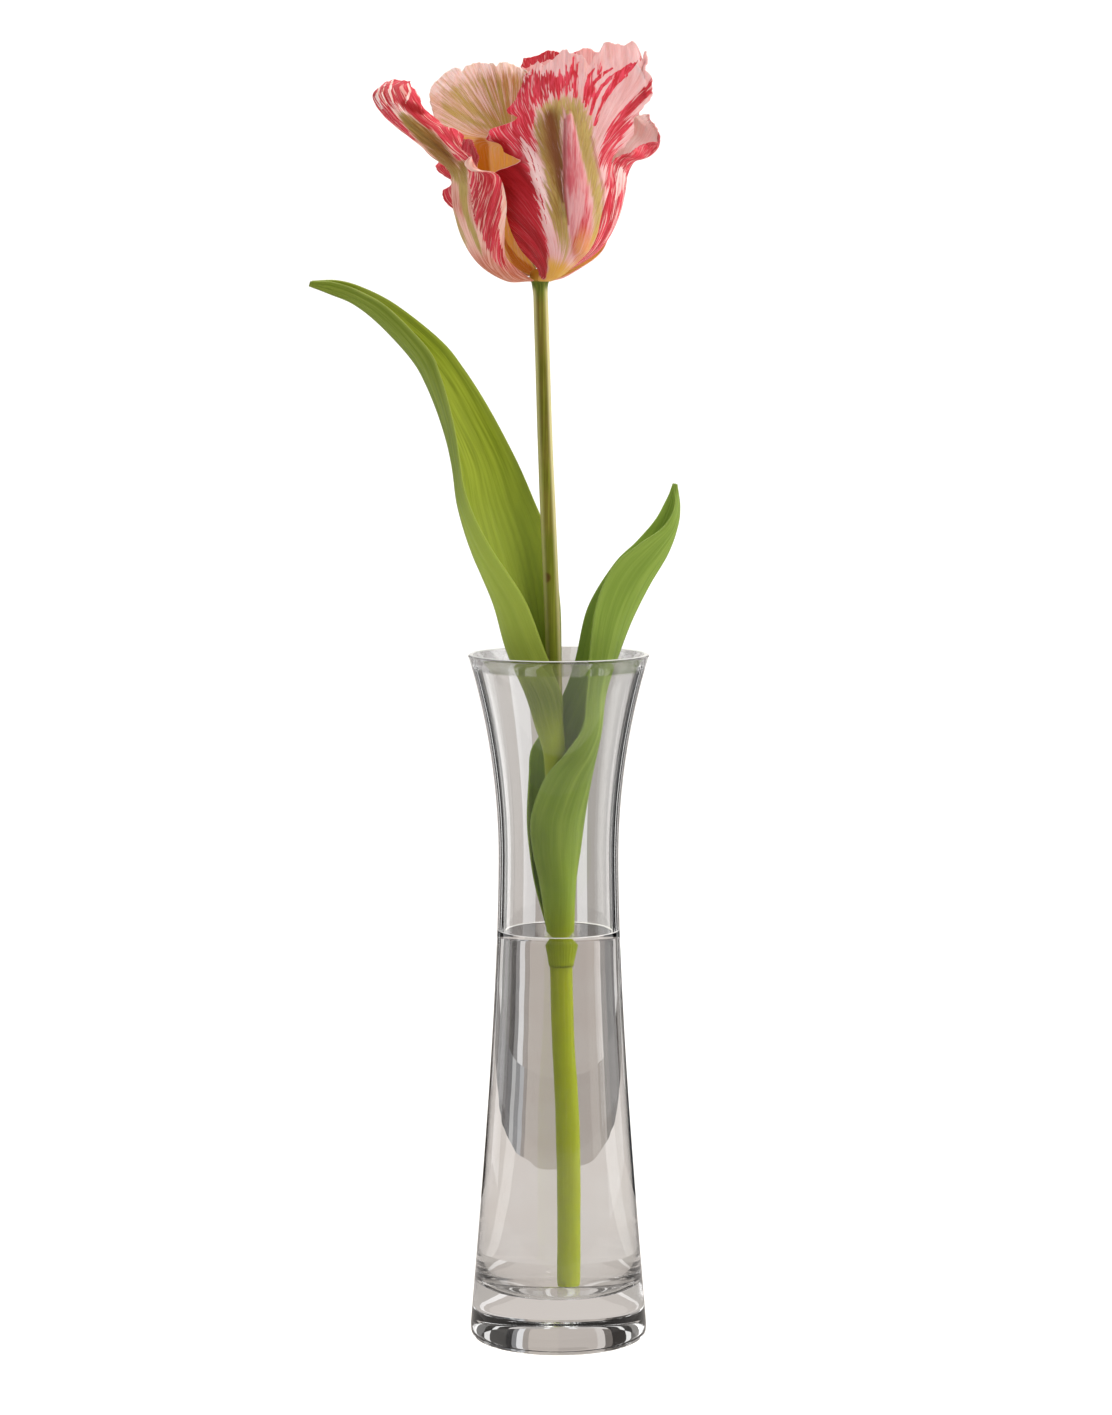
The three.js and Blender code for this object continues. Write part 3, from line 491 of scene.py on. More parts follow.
def grown(name, mesh, tree, values):
    """The plain mesh object that a tree makes from a mesh, with its named inputs set."""
    seed = bpy.data.objects.new(name, mesh)
    bpy.context.scene.collection.objects.link(seed)
    modifier = seed.modifiers.new("shape", "NODES")
    modifier.node_group = tree
    for item in tree.interface.items_tree:
        if item.in_out == "INPUT" and item.name in values:
            modifier[item.identifier] = values[item.name]
    graph = bpy.context.evaluated_depsgraph_get()
    plain = bpy.data.meshes.new_from_object(seed.evaluated_get(graph), depsgraph=graph)
    seed.modifiers.remove(modifier)
    seed.data = plain
    plain.name = name
    return seed


def lathe_tree():
    """Turns a row of profile points, x the radius and z the height, once round the Z axis."""
    tree, entry = new_tree(
        "lathe",
        Profile=("Geometry", None),
        Steps_Around=("Int", 96),
        Weld_Distance=("Float", 1e-6),
        Finish=("Material", None),
    )
    profile, steps = entry["Profile"], entry["Steps Around"]
    count = node(tree, "GeometryNodeAttributeDomainSize", {"Geometry": profile}, out="Point Count")
    links = {"Vertices X": node(tree, "add", steps, 1.0), "Vertices Y": count}
    plane = node(tree, "GeometryNodeMeshGrid", links)
    index = node(tree, "GeometryNodeInputIndex")
    column = node(tree, "floor", node(tree, "divide", index, count))
    angle = node(tree, "multiply", node(tree, "divide", column, steps), math.tau)
    links = {
        "Geometry": profile,
        "Index": node(tree, "modulo", index, count),
        "Value": node(tree, "GeometryNodeInputPosition"),
    }
    sample = node(tree, "GeometryNodeSampleIndex", links, data_type="FLOAT_VECTOR", domain="POINT")
    spun = node(tree, "ShaderNodeVectorRotate", {"Vector": sample, "Angle": angle}, rotation_type="Z_AXIS")
    moved = node(tree, "GeometryNodeSetPosition", {"Geometry": plane, "Position": spun})
    links = {"Geometry": moved, "Distance": entry["Weld Distance"]}
    return closing(tree, node(tree, "GeometryNodeMergeByDistance", links), entry["Finish"])


def stalk_tree():
    """Sweeps a round section of the girth stored on each point along a path."""
    tree, entry = new_tree(
        "stalk", Path=("Geometry", None), Steps_Around=("Int", 40), Finish=("Material", None)
    )
    links = {"Resolution": entry["Steps Around"], "Radius": 1.0}
    links = {
        "Curve": node(tree, "GeometryNodeMeshToCurve", {"Mesh": entry["Path"]}),
        "Profile Curve": node(tree, "GeometryNodeCurvePrimitiveCircle", links),
        "Scale": node(tree, "GeometryNodeInputNamedAttribute", {"Name": "girth"}, data_type="FLOAT"),
        "Fill Caps": True,
    }
    return closing(tree, node(tree, "GeometryNodeCurveToMesh", links), entry["Finish"])


def whorl_tree():
    """Sets a copy of one part at equal turns round the Z axis through a centre."""
    tree, entry = new_tree(
        "whorl",
        Part=("Geometry", None),
        Count=("Int", 6),
        First_Turn=("Float", 0.0),
        Unevenness=("Float", 0.1),
        Centre=("Vector", None),
        Finish=("Material", None),
    )
    index = node(tree, "GeometryNodeInputIndex")
    even = node(tree, "multiply", node(tree, "divide", index, entry["Count"]), math.tau)
    limits = {2: -1.0, 3: 1.0, "Seed": 7}
    slack = node(tree, "FunctionNodeRandomValue", limits, out=1, data_type="FLOAT")
    loose = node(tree, "multiply_add", slack, entry["Unevenness"], even)
    turn = node(tree, "add", loose, entry["First Turn"])
    spin = node(tree, "FunctionNodeEulerToRotation", node(tree, "ShaderNodeCombineXYZ", {"Z": turn}))
    dots = node(tree, "GeometryNodePoints", {"Count": entry["Count"], "Position": entry["Centre"]})
    links = {"Points": dots, "Instance": entry["Part"], "Rotation": spin}
    return closing(tree, node(tree, "GeometryNodeInstanceOnPoints", links), entry["Finish"])


def points_mesh(name, points, girths=None):
    """A mesh of bare points given in millimetres. With girths they are joined in a row."""
    mesh = bpy.data.meshes.new(name)
    links = [] if girths is None else [(k, k + 1) for k in range(len(points) - 1)]
    mesh.from_pydata([[c * MM for c in p] for p in points], links, [])
    if girths is not None:
        layer = mesh.attributes.new("girth", "FLOAT", "POINT")
        layer.data.foreach_set("value", [g * MM for g in girths])
    return mesh


# ---- materials --------------------------------------------------------------------------------------


# Ground colours of each petal: palest, middle, deepest, and the brown of its green, also used as painted
# shade.
TONES = {
    "tepal_outer_front": ("#e9c2c2", "#dea6a4", "#c8606a", "#6e3400"),
    "tepal_outer_left": ("#f8d0c2", "#eeb2a0", "#c86c5a", "#8a5c20"),
    "tepal_outer_back": ("#ebb8b6", "#dd9896", "#c85a62", "#8a5c20"),
    "tepal_inner_right": ("#fbe4e0", "#f0c4c0", "#cc5660", "#8a5c20"),
    "tepal_inner_back": ("#f4dcda", "#d8b498", "#b4764e", "#b86a04"),
    "tepal_inner_left": ("#f4c6ba", "#e6a698", "#c84a5a", "#c07414"),
}
MILK = "#fbebe8"
DEEP_SHADE = "#b42c20"


def petal_finish(name, petal, settings):
    """Parrot tulip petal: waxy living tissue, grown with fan-like veins.

    Thin and satin, light glows through it. Colour follows the veins in feathered flames.
    Veins lie about 1 mm apart, and the streaks run 10 to 20 mm along them.
    """
    material, tree = new_material(name)
    lightest, middle, deepest, bronze_and_shade = TONES[petal]
    marked = {key: node(tree, "value", attribute_name=key) for key in MARKS}
    grain, comb = (node(tree, "vector", attribute_name=key) for key in ("grain", "comb"))
    opened = node(tree, "value", attribute_name="opened")

    def lines(scale, detail, low, high):
        """Streaks along the veins from 0 to 1, closer set where the veins have branched."""
        noises = (node(tree, "noise", vector, scale, detail, 0.6) for vector in (grain, comb))
        first, second = (node(tree, "ease", noise, low, high) for noise in noises)
        return node(tree, "mix values", opened, first, second)

    def spread(value, amount):
        """A streak value as a swing round zero."""
        return node(tree, "multiply", node(tree, "subtract", value, 0.5), amount)

    streak = lines(1.0, 3.0, 0.34, 0.66)
    thread = lines(2.6, 2.0, 0.34, 0.66)
    hair = lines(1.7, 1.0, 0.56, 0.67)
    fibre = lines(1.8, 4.0, 0.3, 0.7)
    broad = node(tree, "noise", grain, 0.35, 1.0)

    ground = node(tree, "mix", node(tree, "multiply", streak, 0.75), lightest, middle)
    blush = node(tree, "multiply", marked["blush"], node(tree, "add", spread(streak, 0.9), 1.0))
    ground = node(tree, "mix", node(tree, "minimum", blush, 1.0), ground, deepest)
    milky = node(tree, "multiply", marked["pale"], node(tree, "ease", streak, 0.2, 1.0, 1.0, 0.4))
    ground = node(tree, "mix", milky, ground, MILK)

    green = node(tree, "mix", thread, settings.olive_dark, settings.olive_light)
    darker = node(tree, "mix", 0.45, green, settings.olive_dark)
    lighter = node(tree, "mix", 0.6, green, settings.olive_light)
    # The light mark moves the green between darker and lighter, in part as painted light and shade; its
    # browning is in part painted shade.
    green = node(tree, "mix", marked["light"], darker, lighter)
    green = node(tree, "mix", marked["bronze_and_shade"], green, bronze_and_shade)

    clear = node(tree, "subtract", 1.0, marked["shade"])
    threads = node(tree, "multiply", thread, clear)
    crimson = node(tree, "mix", threads, settings.crimson, settings.crimson_light)
    deep = node(tree, "ease", broad, 0.42, 0.62, 0.0, 0.55)
    crimson = node(tree, "mix", deep, crimson, settings.crimson_dark)
    hairs = node(tree, "multiply", hair, node(tree, "subtract", 0.62, marked["shade"]))
    crimson = node(tree, "mix", hairs, crimson, lightest)

    swing = node(tree, "add", spread(thread, 0.4), spread(streak, 0.3))
    olive = node(tree, "ease", node(tree, "add", marked["olive"], swing), 0.18, 0.85)
    colour = node(tree, "mix", node(tree, "multiply", olive, 0.95), ground, green)
    swing = node(tree, "add", spread(streak, 0.62), spread(thread, 0.3))
    flame = node(tree, "ease", node(tree, "add", marked["flamed"], swing), 0.42, 0.6)
    colour = node(tree, "mix", node(tree, "multiply", flame, 0.96), colour, crimson)
    swing = node(tree, "multiply", spread(streak, 0.5), marked["warm"])
    warm = node(tree, "ease", node(tree, "add", marked["warm"], swing), 0.0, 1.0)
    colour = node(tree, "mix", warm, colour, node(tree, "mix", marked["bronze_and_shade"], settings.warm, bronze_and_shade))
    colour = node(tree, "mix", marked["shade"], colour, node(tree, "tint", 1.0, colour, DEEP_SHADE))
    finish = {
        "Base Color": colour,
        "Roughness": node(tree, "ease", fibre, 0.0, 1.0, 0.42, 0.56),
        "Normal": node(tree, "bump", fibre, 0.5, 0.0005),
        "IOR": 1.4,
        "Specular IOR Level": 0.15,
        "Subsurface Weight": settings.glow,
        "Subsurface Radius": (1.0, 0.35, 0.25),
        "Subsurface Scale": 0.0016,
    }
    node(tree, "ShaderNodeOutputMaterial", node(tree, "ShaderNodeBsdfPrincipled", finish))
    return material


def leaf_finish(name, settings, cool):
    """Tulip leaf: waxy blade with parallel veins, grown lengthwise.

    Cool grey-green bloom of wax outside, brighter yellow-green inside, where light comes through. A painted
    highlight lies low on the upper leaf, and the wax bloom mixed onto a waxy leaf's inner face is in part
    painted light.
    Veins lie about 1.2 mm apart. cool is the share of wax that the leaf wears, from 0 to 1.
    """
    material, tree = new_material(name)
    grain = node(tree, "vector", attribute_name="grain")
    inside, young, margin = (node(tree, "value", attribute_name=key) for key in ("inside", "young", "margin"))
    veins = node(tree, "noise", grain, 1.0, 3.0, 0.6)
    broad = node(tree, "noise", grain, 0.28, 2.0)
    streaks = node(tree, "ease", veins, 0.25, 0.75)
    outer = node(tree, "mix", streaks, settings.deep, settings.green)
    inner = node(tree, "mix", streaks, settings.green_inside, settings.lime)
    colour = node(tree, "mix", inside, outer, inner)
    colour = node(tree, "mix", node(tree, "ease", broad, 0.5, 0.66, 0.0, 0.45), colour, settings.shadow)
    bright = node(tree, "multiply", inside, node(tree, "ease", broad, 0.42, 0.3, 0.0, 0.5))
    colour = node(tree, "mix", bright, colour, settings.lime)
    base = node(tree, "mix", cool, settings.lime, settings.young)
    colour = node(tree, "mix", node(tree, "ease", young, 0.0, 0.9, 0.0, 0.85), colour, base)
    colour = node(tree, "mix", node(tree, "multiply", margin, 0.4), colour, settings.edge)
    grown_up = node(tree, "multiply", cool, node(tree, "ease", young, 0.6, 0.0, 0.0, 1.0))
    colour = node(tree, "mix", grown_up, colour, node(tree, "tint", 1.0, colour, "#eefaee"))
    # Wax bloom on the cooler leaf; the extra share on its inner face is painted light that lifts the shaded
    # side.
    frost_and_painted_light = node(tree, "add", node(tree, "multiply", inside, 0.3), 0.32)
    colour = node(tree, "mix", node(tree, "multiply", cool, frost_and_painted_light), colour, settings.frosted_and_lit)
    # Painted highlight: pale lit green where young dips below 0, low on the upper leaf.
    colour = node(tree, "mix", node(tree, "ease", young, 0.0, -0.6, 0.0, 0.6), colour, settings.lit)
    colour = node(tree, "mix", node(tree, "ease", young, 0.6, 1.0), colour, settings.sheath)
    finish = {
        "Base Color": colour,
        "Roughness": node(tree, "ease", veins, 0.3, 0.7, 0.38, 0.5),
        "Normal": node(tree, "bump", veins, 0.5, 0.0005),
        "IOR": 1.42,
        "Specular IOR Level": 0.2,
        "Subsurface Weight": 0.15,
        "Subsurface Radius": (0.6, 1.0, 0.2),
        "Subsurface Scale": 0.0008,
    }
    node(tree, "ShaderNodeOutputMaterial", node(tree, "ShaderNodeBsdfPrincipled", finish))
    return material


# The brown spot low on the stem: its place in metres and its colour.
SPOT = (-0.0046, -0.0026, 0.2775)
SPOT_BROWN = "#54300c"


def stem_finish(settings):
    """Tulip stem: smooth waxy stalk. Lime in the water, olive with a blush of brown near the bloom.
    Right under the bloom a darker green is painted shade, and the pale wax at its flanks is in part painted
    sheen.

    Heights and reaches are in metres, and the fibres lie about 0.7 mm apart.
    """
    material, tree = new_material("waxy flower stem")
    place = node(tree, "ShaderNodeTexCoord", out="Object")
    x, z = (node(tree, "ShaderNodeSeparateXYZ", place, out=axis) for axis in "XZ")
    stretched = node(tree, "ShaderNodeMapping", {"Vector": place, "Scale": (1400.0, 1400.0, 28.0)})
    fibres = node(tree, "noise", stretched, 1.0, 3.0, 0.6)
    blotch = node(tree, "noise", place, 60.0, 3.0)
    colour = node(tree, "mix", node(tree, "ease", z, 0.125, 0.2), settings.lime, settings.green)
    colour = node(tree, "mix", node(tree, "ease", z, 0.24, 0.34), colour, settings.olive)
    patches = node(tree, "multiply", node(tree, "ease", z, 0.23, 0.3), node(tree, "ease", blotch, 0.4, 0.62))
    flank = node(tree, "ease", x, -0.0055, 0.002, 1.0, 0.0)
    for blushed, share in ((patches, 0.25), (flank, 0.15)):
        colour = node(tree, "mix", node(tree, "multiply", blushed, share), colour, settings.blush)
    # Painted shade: a darker green right under the bloom.
    colour = node(tree, "mix", node(tree, "ease", z, 0.374, 0.381), colour, settings.collar_shade)
    colour = node(tree, "mix", node(tree, "ease", z, 0.3828, 0.3838), colour, settings.seat)
    colour = node(tree, "mix", node(tree, "ease", fibres, 0.45, 0.7, 0.0, 0.35), colour, settings.line)
    gap = node(tree, "ShaderNodeVectorMath", place, SPOT, out="Value", operation="DISTANCE")
    colour = node(tree, "mix", node(tree, "ease", gap, 0.0012, 0.0024, 0.8, 0.0), colour, SPOT_BROWN)
    # Paler where the stem turns away at its flanks: in part the bloom of wax, in part painted sheen.
    rim = node(tree, "ShaderNodeLayerWeight", {"Blend": 0.5}, out="Facing")
    dry = node(
        tree, "multiply", node(tree, "ease", z, 0.17, 0.25), node(tree, "ease", z, 0.379, 0.382, 1.0, 0.0)
    )
    wax_sheen = node(tree, "multiply", node(tree, "ease", rim, 0.04, 0.42, 0.0, 0.8), dry)
    finish = {
        "Base Color": node(tree, "mix", wax_sheen, colour, settings.wax),
        "Roughness": node(tree, "ease", blotch, 0.3, 0.7, 0.36, 0.48),
        "Normal": node(tree, "bump", fibres, 0.35, 0.0003),
        "IOR": 1.42,
        "Specular IOR Level": 0.2,
        "Subsurface Weight": 0.2,
        "Subsurface Radius": (0.6, 1.0, 0.2),
        "Subsurface Scale": 0.0015,
    }
    node(tree, "ShaderNodeOutputMaterial", node(tree, "ShaderNodeBsdfPrincipled", finish))
    return material


def clear_finish(name, ior, tint, tint_light, drawn, rise, glint_from, glint_share=0.7, lip=None):
    """A clear solid whose wall lets the lamps' light through to what stands inside it.

    drawn and rise are the scale and the height of the faint waves in its surface. From the height of its
    glint up a painted highlight of plain white lies on it, and from lip up it is clearer still.
    """
    material, tree = new_material(name)
    place = node(tree, "ShaderNodeTexCoord", out="Object")
    height = node(tree, "ShaderNodeSeparateXYZ", place, out="Z")
    stretched = node(tree, "ShaderNodeMapping", {"Vector": place, "Scale": drawn})
    waves = node(tree, "noise", stretched, 1.0, 1.0, 0.4)
    finish = {
        "Base Color": node(tree, "mix", node(tree, "ease", waves, 0.3, 0.7), tint, tint_light),
        "Roughness": 0.0,
        "IOR": ior,
        "Transmission Weight": 1.0,
        "Normal": node(tree, "bump", waves, 0.3, rise),
    }
    clear = node(tree, "ShaderNodeBsdfPrincipled", finish)
    share = node(tree, "ShaderNodeLightPath", out="Is Shadow Ray")
    if lip is not None:
        share = node(tree, "maximum", share, node(tree, "ease", height, lip - 0.0006, lip + 0.0006, 0.0, 0.4))
    through = node(tree, "ShaderNodeBsdfTransparent", {"Color": "#fcfcfc"})
    clear = node(tree, "ShaderNodeMixShader", share, clear, through)
    glint = node(tree, "ShaderNodeBsdfDiffuse", {"Color": "#ffffff"})
    shining = node(tree, "ease", height, glint_from, glint_from + 0.0001, 0.0, glint_share)
    node(tree, "ShaderNodeOutputMaterial", node(tree, "ShaderNodeMixShader", shining, clear, glint))
    return material


def glass_finish(settings):
    """Blown soda-lime glass, fire-polished: clear, a trace of grey, faint drawn waves in the wall, a painted
    highlight on the lip.
    """
    rim = VASE["height"] * MM
    return clear_finish(
        "blown clear glass", 1.5, settings.tint, settings.tint_light, drawn=(26.0, 26.0, 9.0),
        rise=0.0006, glint_from=rim - 0.00032, glint_share=0.55, lip=rim - 0.0054,
    )


def water_finish(settings):
    """Still tap water: clear, faintly cool, with the slightest movement on its surface and a painted
    highlight at its edge.
    """
    return clear_finish(
        "still water", 1.333, settings.tint, "#fefefe", drawn=(90.0, 90.0, 90.0),
        rise=0.0003, glint_from=VASE["water"] * MM + 0.00004,
    )


def soft_part_finish(name, dark, light, scale):
    """Matt plant tissue such as a pistil, a filament or a pollen-dusted anther, with a mealy grain."""
    material, tree = new_material(name)
    grain = node(tree, "noise", node(tree, "ShaderNodeTexCoord", out="Object"), scale, 4.0, 0.6)
    finish = {
        "Base Color": node(tree, "mix", node(tree, "ease", grain, 0.35, 0.65), dark, light),
        "Roughness": node(tree, "ease", grain, 0.3, 0.7, 0.55, 0.75),
        "Normal": node(tree, "bump", grain, 0.5, 0.0003),
        "Subsurface Weight": 0.15,
        "Subsurface Scale": 0.001,
    }
    node(tree, "ShaderNodeOutputMaterial", node(tree, "ShaderNodeBsdfPrincipled", finish))
    return material


# ---- petals -----------------------------------------------------------------------------------------


# How wide the bundle of veins has opened at even steps of s, left and right of the midrib.
FANS = {
    "tepal_outer_front": (
        [0.13, 0.13, 0.16, 0.26, 0.42, 0.62, 0.95, 1.35, 1.75, 2.1],
        [0.24, 0.28, 0.34, 0.42, 0.54, 0.7, 1, 1.4, 1.75, 2.1],
    ),
    "tepal_outer_left": (
        [0.2, 0.24, 0.3, 0.36, 0.4, 0.45, 0.5, 0.55],
        [0.36, 0.36, 0.36, 0.38, 0.42, 0.46, 0.5, 0.55],
    ),
    "tepal_outer_back": ([0.3, 0.36, 0.45, 0.7, 1, 1.4],) * 2,
    "tepal_inner_right": ([0.24, 0.3, 0.36, 0.46, 0.6, 0.8],) * 2,
    "tepal_inner_back": ([0.24, 0.3, 0.44, 0.7, 1, 1.3],) * 2,
    "tepal_inner_left": ([0.3, 0.36, 0.44, 0.6, 0.8, 1],) * 2,
}


def fan_width(name, s, t):
    """How wide the bundle of veins has opened at s, on the side of t."""
    left, right = (along([[value] for value in row], s.ravel())[:, 0].reshape(s.shape) for row in FANS[name])
    side = smooth(-0.06, 0.06, t)
    return left * (1 - side) + right * side


def fan_vein(name, s, t):
    """Which vein passes through a point: veins follow the midrib and then open like a fan."""
    vein = t / fan_width(name, s, t)
    if name == "tepal_outer_left":
        vein = vein - 9 * np.clip(s - 0.1, 0, 0.42) * smooth(0.04, 0.16, t)
    return vein


def combed(name, values, reach):
    """Smears painted values along the veins, by up to reach of the petal's length each way."""
    rows, columns = values.shape[0] - 1, values.shape[1] - 1
    s, t = np.meshgrid(np.linspace(0, 1, rows + 1), np.linspace(-1, 1, columns + 1), indexing="ij")
    total = np.zeros_like(values)
    steps = np.linspace(-1, 1, 9)
    for step in steps:
        s_there = np.clip(s + step * reach, 0, 1)
        t_there = np.clip(t * fan_width(name, s_there, t) / fan_width(name, s, t), -1, 1)
        i, j = s_there * rows, (t_there + 1) / 2 * columns
        i0, j0 = np.minimum(i.astype(int), rows - 1), np.minimum(j.astype(int), columns - 1)
        u, v = i - i0, j - j0
        low = values[i0, j0] * (1 - v) + values[i0, j0 + 1] * v
        high = values[i0 + 1, j0] * (1 - v) + values[i0 + 1, j0 + 1] * v
        total += low * (1 - u) + high * u
    return total / len(steps)


# What is painted on a petal: crimson flames, green bands, how light the green is (in part painted light and
# shade), how brown it is (in part painted shade), deep pink, yellow, painted shade and milky white.
MARKS = ("flamed", "olive", "light", "bronze_and_shade", "blush", "warm", "shade", "pale")


def blank_marks(s):
    """A set of marks with nothing painted."""
    return {key: np.zeros_like(s) for key in MARKS}


def paint_outside(s, t, x, z):
    """Outer face of a petal whose back is not in front: midrib, flames round it, pale margin, yellow foot."""
    edge = np.abs(t)
    marks = blank_marks(s)
    rise = np.maximum(s - 0.6, 0) / 0.17
    across = edge / (0.14 + 0.34 * np.minimum(s, 0.6))
    marks["olive"] = 0.85 * bump(np.hypot(across, rise), 0.95, 0.4) * smooth(0.02, 0.15, s)
    marks["light"] = 0.5 + 0.3 * t
    flame = smooth(0.12, 0.42, edge + 0.45 * smooth(0.7, 0.9, s)) * smooth(1.05, 0.72, s + 0.08 * edge)
    marks["flamed"] = 0.95 * flame * smooth(0.04, 0.25, s) * (1 - 0.8 * marks["olive"]) - 0.05
    marks["blush"] = 0.5 * bump(edge, 0, 0.14) * smooth(0.8, 0.6, s) + 0.25 * smooth(0.4, 0.1, s)
    marks["warm"] = 0.4 * smooth(0.12, 0, s)
    return marks


def paint_outer_front(s, t, x, z):
    """The showiest petal: two green bands joined in an arch, with flames combed outwards."""
    name = "tepal_outer_front"
    left_band = [
        (11, 6.5, 0.5), (9.2, 10.8, 1.8), (7.8, 17, 2.8), (6.6, 23, 3.2), (5.4, 29.7, 3.6), (4.9, 36, 3.7),
        (4.4, 42.4, 4.1), (3, 48.2, 5), (2.8, 54, 5), (5, 57, 4.2),
    ]
    arch = [(3.6, 56, 4.2), (6.4, 58.8, 3.8), (9.7, 59.6, 3.8), (12.4, 58.6, 3.4), (13.8, 55.8, 3)]
    right_band = [
        (13.6, 56, 3), (15.5, 48, 2.9), (16.6, 42.4, 2.6), (18, 36, 2.4), (19.7, 29.7, 2.4), (20.1, 22, 2),
        (20, 17, 1.6), (17.8, 10, 0.8),
    ]
    pleat = [
        (10.4, 55, 0.9), (10.7, 50, 1.8), (11.2, 44, 2.4), (12, 37, 3.1), (13, 29.7, 3.9), (13.9, 23.4, 4),
        (14.3, 17, 3.8), (14.3, 11, 2.8), (13.4, 6, 1.8),
    ]
    milky = [
        (-6.6, 48, 0.3), (-3.6, 42.4, 1.4), (-1.2, 36, 2.1), (0.4, 29.7, 2.2), (2, 22, 1.9), (3.6, 15, 1.4),
    ]
    wing = [
        (-14.5, 44, 4), (-12.4, 36, 7.6), (-9.4, 28, 8.6), (-6.4, 20, 7.6), (-3.6, 13, 6), (-1.4, 7.5, 4.4),
        (0.4, 3, 2.8), (1.4, 0, 1),
    ]
    lip = [(-19, 53.5, 3.6), (-14, 52, 3.8), (-9, 46.5, 3.4), (-5.6, 40, 3), (-3.4, 33, 2)]
    notch = [(-9.5, 57, 4), (-6, 53, 4.6), (-3.6, 47, 3.4)]
    left_fan = [(-6, 50, 4.4), (-7.5, 57, 5.8), (-6, 62, 6), (-1, 65.2, 5.4), (4, 66.4, 4.8), (9.4, 67, 4.4)]
    middle_fan = [(10.6, 65.4, 3.2), (11.6, 68.4, 3.8), (12.6, 70.8, 2.6)]
    right_fan = [(16.4, 61.4, 1.6), (18.2, 65.4, 2.8), (19.8, 68.4, 2.4)]
    arcs = [
        [
            (19.2, 52.2, 0.5), (20.6, 57.1, 0.8), (22.4, 62.1, 0.9), (25.2, 66.4, 0.9), (28.8, 69.9, 0.8),
            (32.3, 72.4, 0.7), (36, 76.4, 0.35),
        ],
        [
            (17.6, 56, 0.4), (19.2, 61.4, 0.7), (21.7, 65.7, 0.8), (24.5, 68.5, 0.8), (28.8, 71.2, 0.6),
            (32, 73.8, 0.3),
        ],
        [(16, 58.6, 0.4), (17.2, 63.5, 0.6), (19.2, 67.4, 0.7), (22.6, 70.4, 0.7), (25.4, 72, 0.3)],
        [(21.6, 58.4, 0.2), (23.4, 62.2, 0.4), (26.6, 66.4, 0.4), (30.4, 69.6, 0.3)],
        [(15, 60, 0.3), (15.8, 65, 0.5), (17.2, 69.4, 0.5), (19.4, 72, 0.2)],
    ]
    threads = [
        [(-8.6, 46, 0.2), (-5, 41, 0.35), (-2.9, 34, 0.35), (-1.1, 27, 0.3), (0.9, 19, 0.2)],
        [(-5, 46.6, 0.2), (-2.4, 40, 0.3), (-0.5, 32, 0.35), (1.2, 25, 0.3), (2.6, 18, 0.15)],
        [(-2.2, 44, 0.15), (0.2, 36, 0.25), (1.8, 28, 0.15)],
    ]
    far_flames = [
        (22, 39, 2), (24.6, 46.6, 3), (27.4, 51.4, 3.2), (30.8, 56.4, 2.6), (34.6, 62, 1.9),
        (37.8, 66.4, 1.3),
    ]
    flank = [
        (25.2, 42, 3.4), (25.6, 36, 3.2), (26.2, 30, 3.6), (25.4, 22, 3.2), (22.8, 14, 2.6), (19.2, 7, 1.5),
    ]
    panel = [(22.8, 55.6, 1.4), (25.6, 60, 2.6), (29.6, 64.6, 3.8), (34, 69, 3.6), (37, 71.6, 3)]
    wedge = [(14.6, 65.6, 0.8), (15, 68.6, 1.6), (15.2, 72, 1.8)]
    # Painted shade: brown over the green in the hollow left of the raised pleat.
    shaded = [(3.6, 55, 2.6), (4.8, 46, 3.2), (6.6, 38, 2.6), (7.6, 31, 1.6), (8.4, 26, 0.7)]
    crease = [(9, 54, 0.5), (8.9, 42.4, 0.7), (9, 30, 0.6), (10.2, 18, 0.4)]
    valley = [(18, 48, 0.4), (19.6, 40, 0.5), (22, 30, 0.5), (21.8, 18, 0.4)]
    marks = blank_marks(s)
    pink = painted(x, z, pleat)
    white = painted(x, z, milky, 1.9)
    band = layered(x, z, [(1, left_band, 1.3), (0.8, arch, 1.5), (1, right_band, 1.2)])
    marks["olive"] = combed(name, band, 0.05) * (1 - 0.95 * pink)
    # The bands are painted lighter right of the pleat and darker left of it, as painted light and shade, and
    # lighter at the arch's top.
    right = smooth(6, 16, x + 0.25 * (30 - z) * smooth(40, 20, z))
    marks["light"] = np.maximum(right, 0.9 * smooth(53, 60, z))
    marks["bronze_and_shade"] = 0.9 * painted(x, z, shaded, 2)
    flames = [
        (1.2, wing, 0.8), (1.1, lip, 1.2), (1.1, notch, 1.2), (1.2, left_fan, 1.1),
        (1.15, middle_fan, 1.2), (0.95, right_fan, 1.4), (1.15, far_flames, 1.2), (1, flank, 1.2),
    ]
    lines = [(1.2, arc, 1.5) for arc in arcs] + [(0.85, thread, 1.8) for thread in threads]
    flame = combed(name, layered(x, z, flames), 0.05) * (1 - 0.7 * white)
    flame = flame * (1 - 0.95 * painted(x, z, panel, 0.7)) * (1 - 0.9 * painted(x, z, wedge))
    flame = flame * (1 - 0.85 * smooth(0.3, 0.9, marks["olive"]))
    flame = np.maximum(flame, layered(x, z, lines))
    flushed = 0.3 * pink * smooth(34, 24, z) * smooth(6, 14, z)
    marks["flamed"] = np.maximum(flame - 0.02, flushed) - 0.04
    marks["blush"] = 0.6 * pink * smooth(64, 50, z) + 0.12 * smooth(74, 60, z)
    marks["blush"] = marks["blush"] * (1 - 0.9 * white) + 0.3 * smooth(20, 8, z) * smooth(10, 14, x)
    marks["pale"] = 0.5 * white * smooth(14, 24, z) * smooth(48, 38, z)
    salmon = 0.55 * smooth(22, 9, z) * smooth(10, 14, x)
    yellow = smooth(9, 2, z + 0.3 * (x - 6)) * (1 - painted(x, z, wing, 0.6))
    marks["warm"] = np.clip(yellow + salmon, 0, 1)
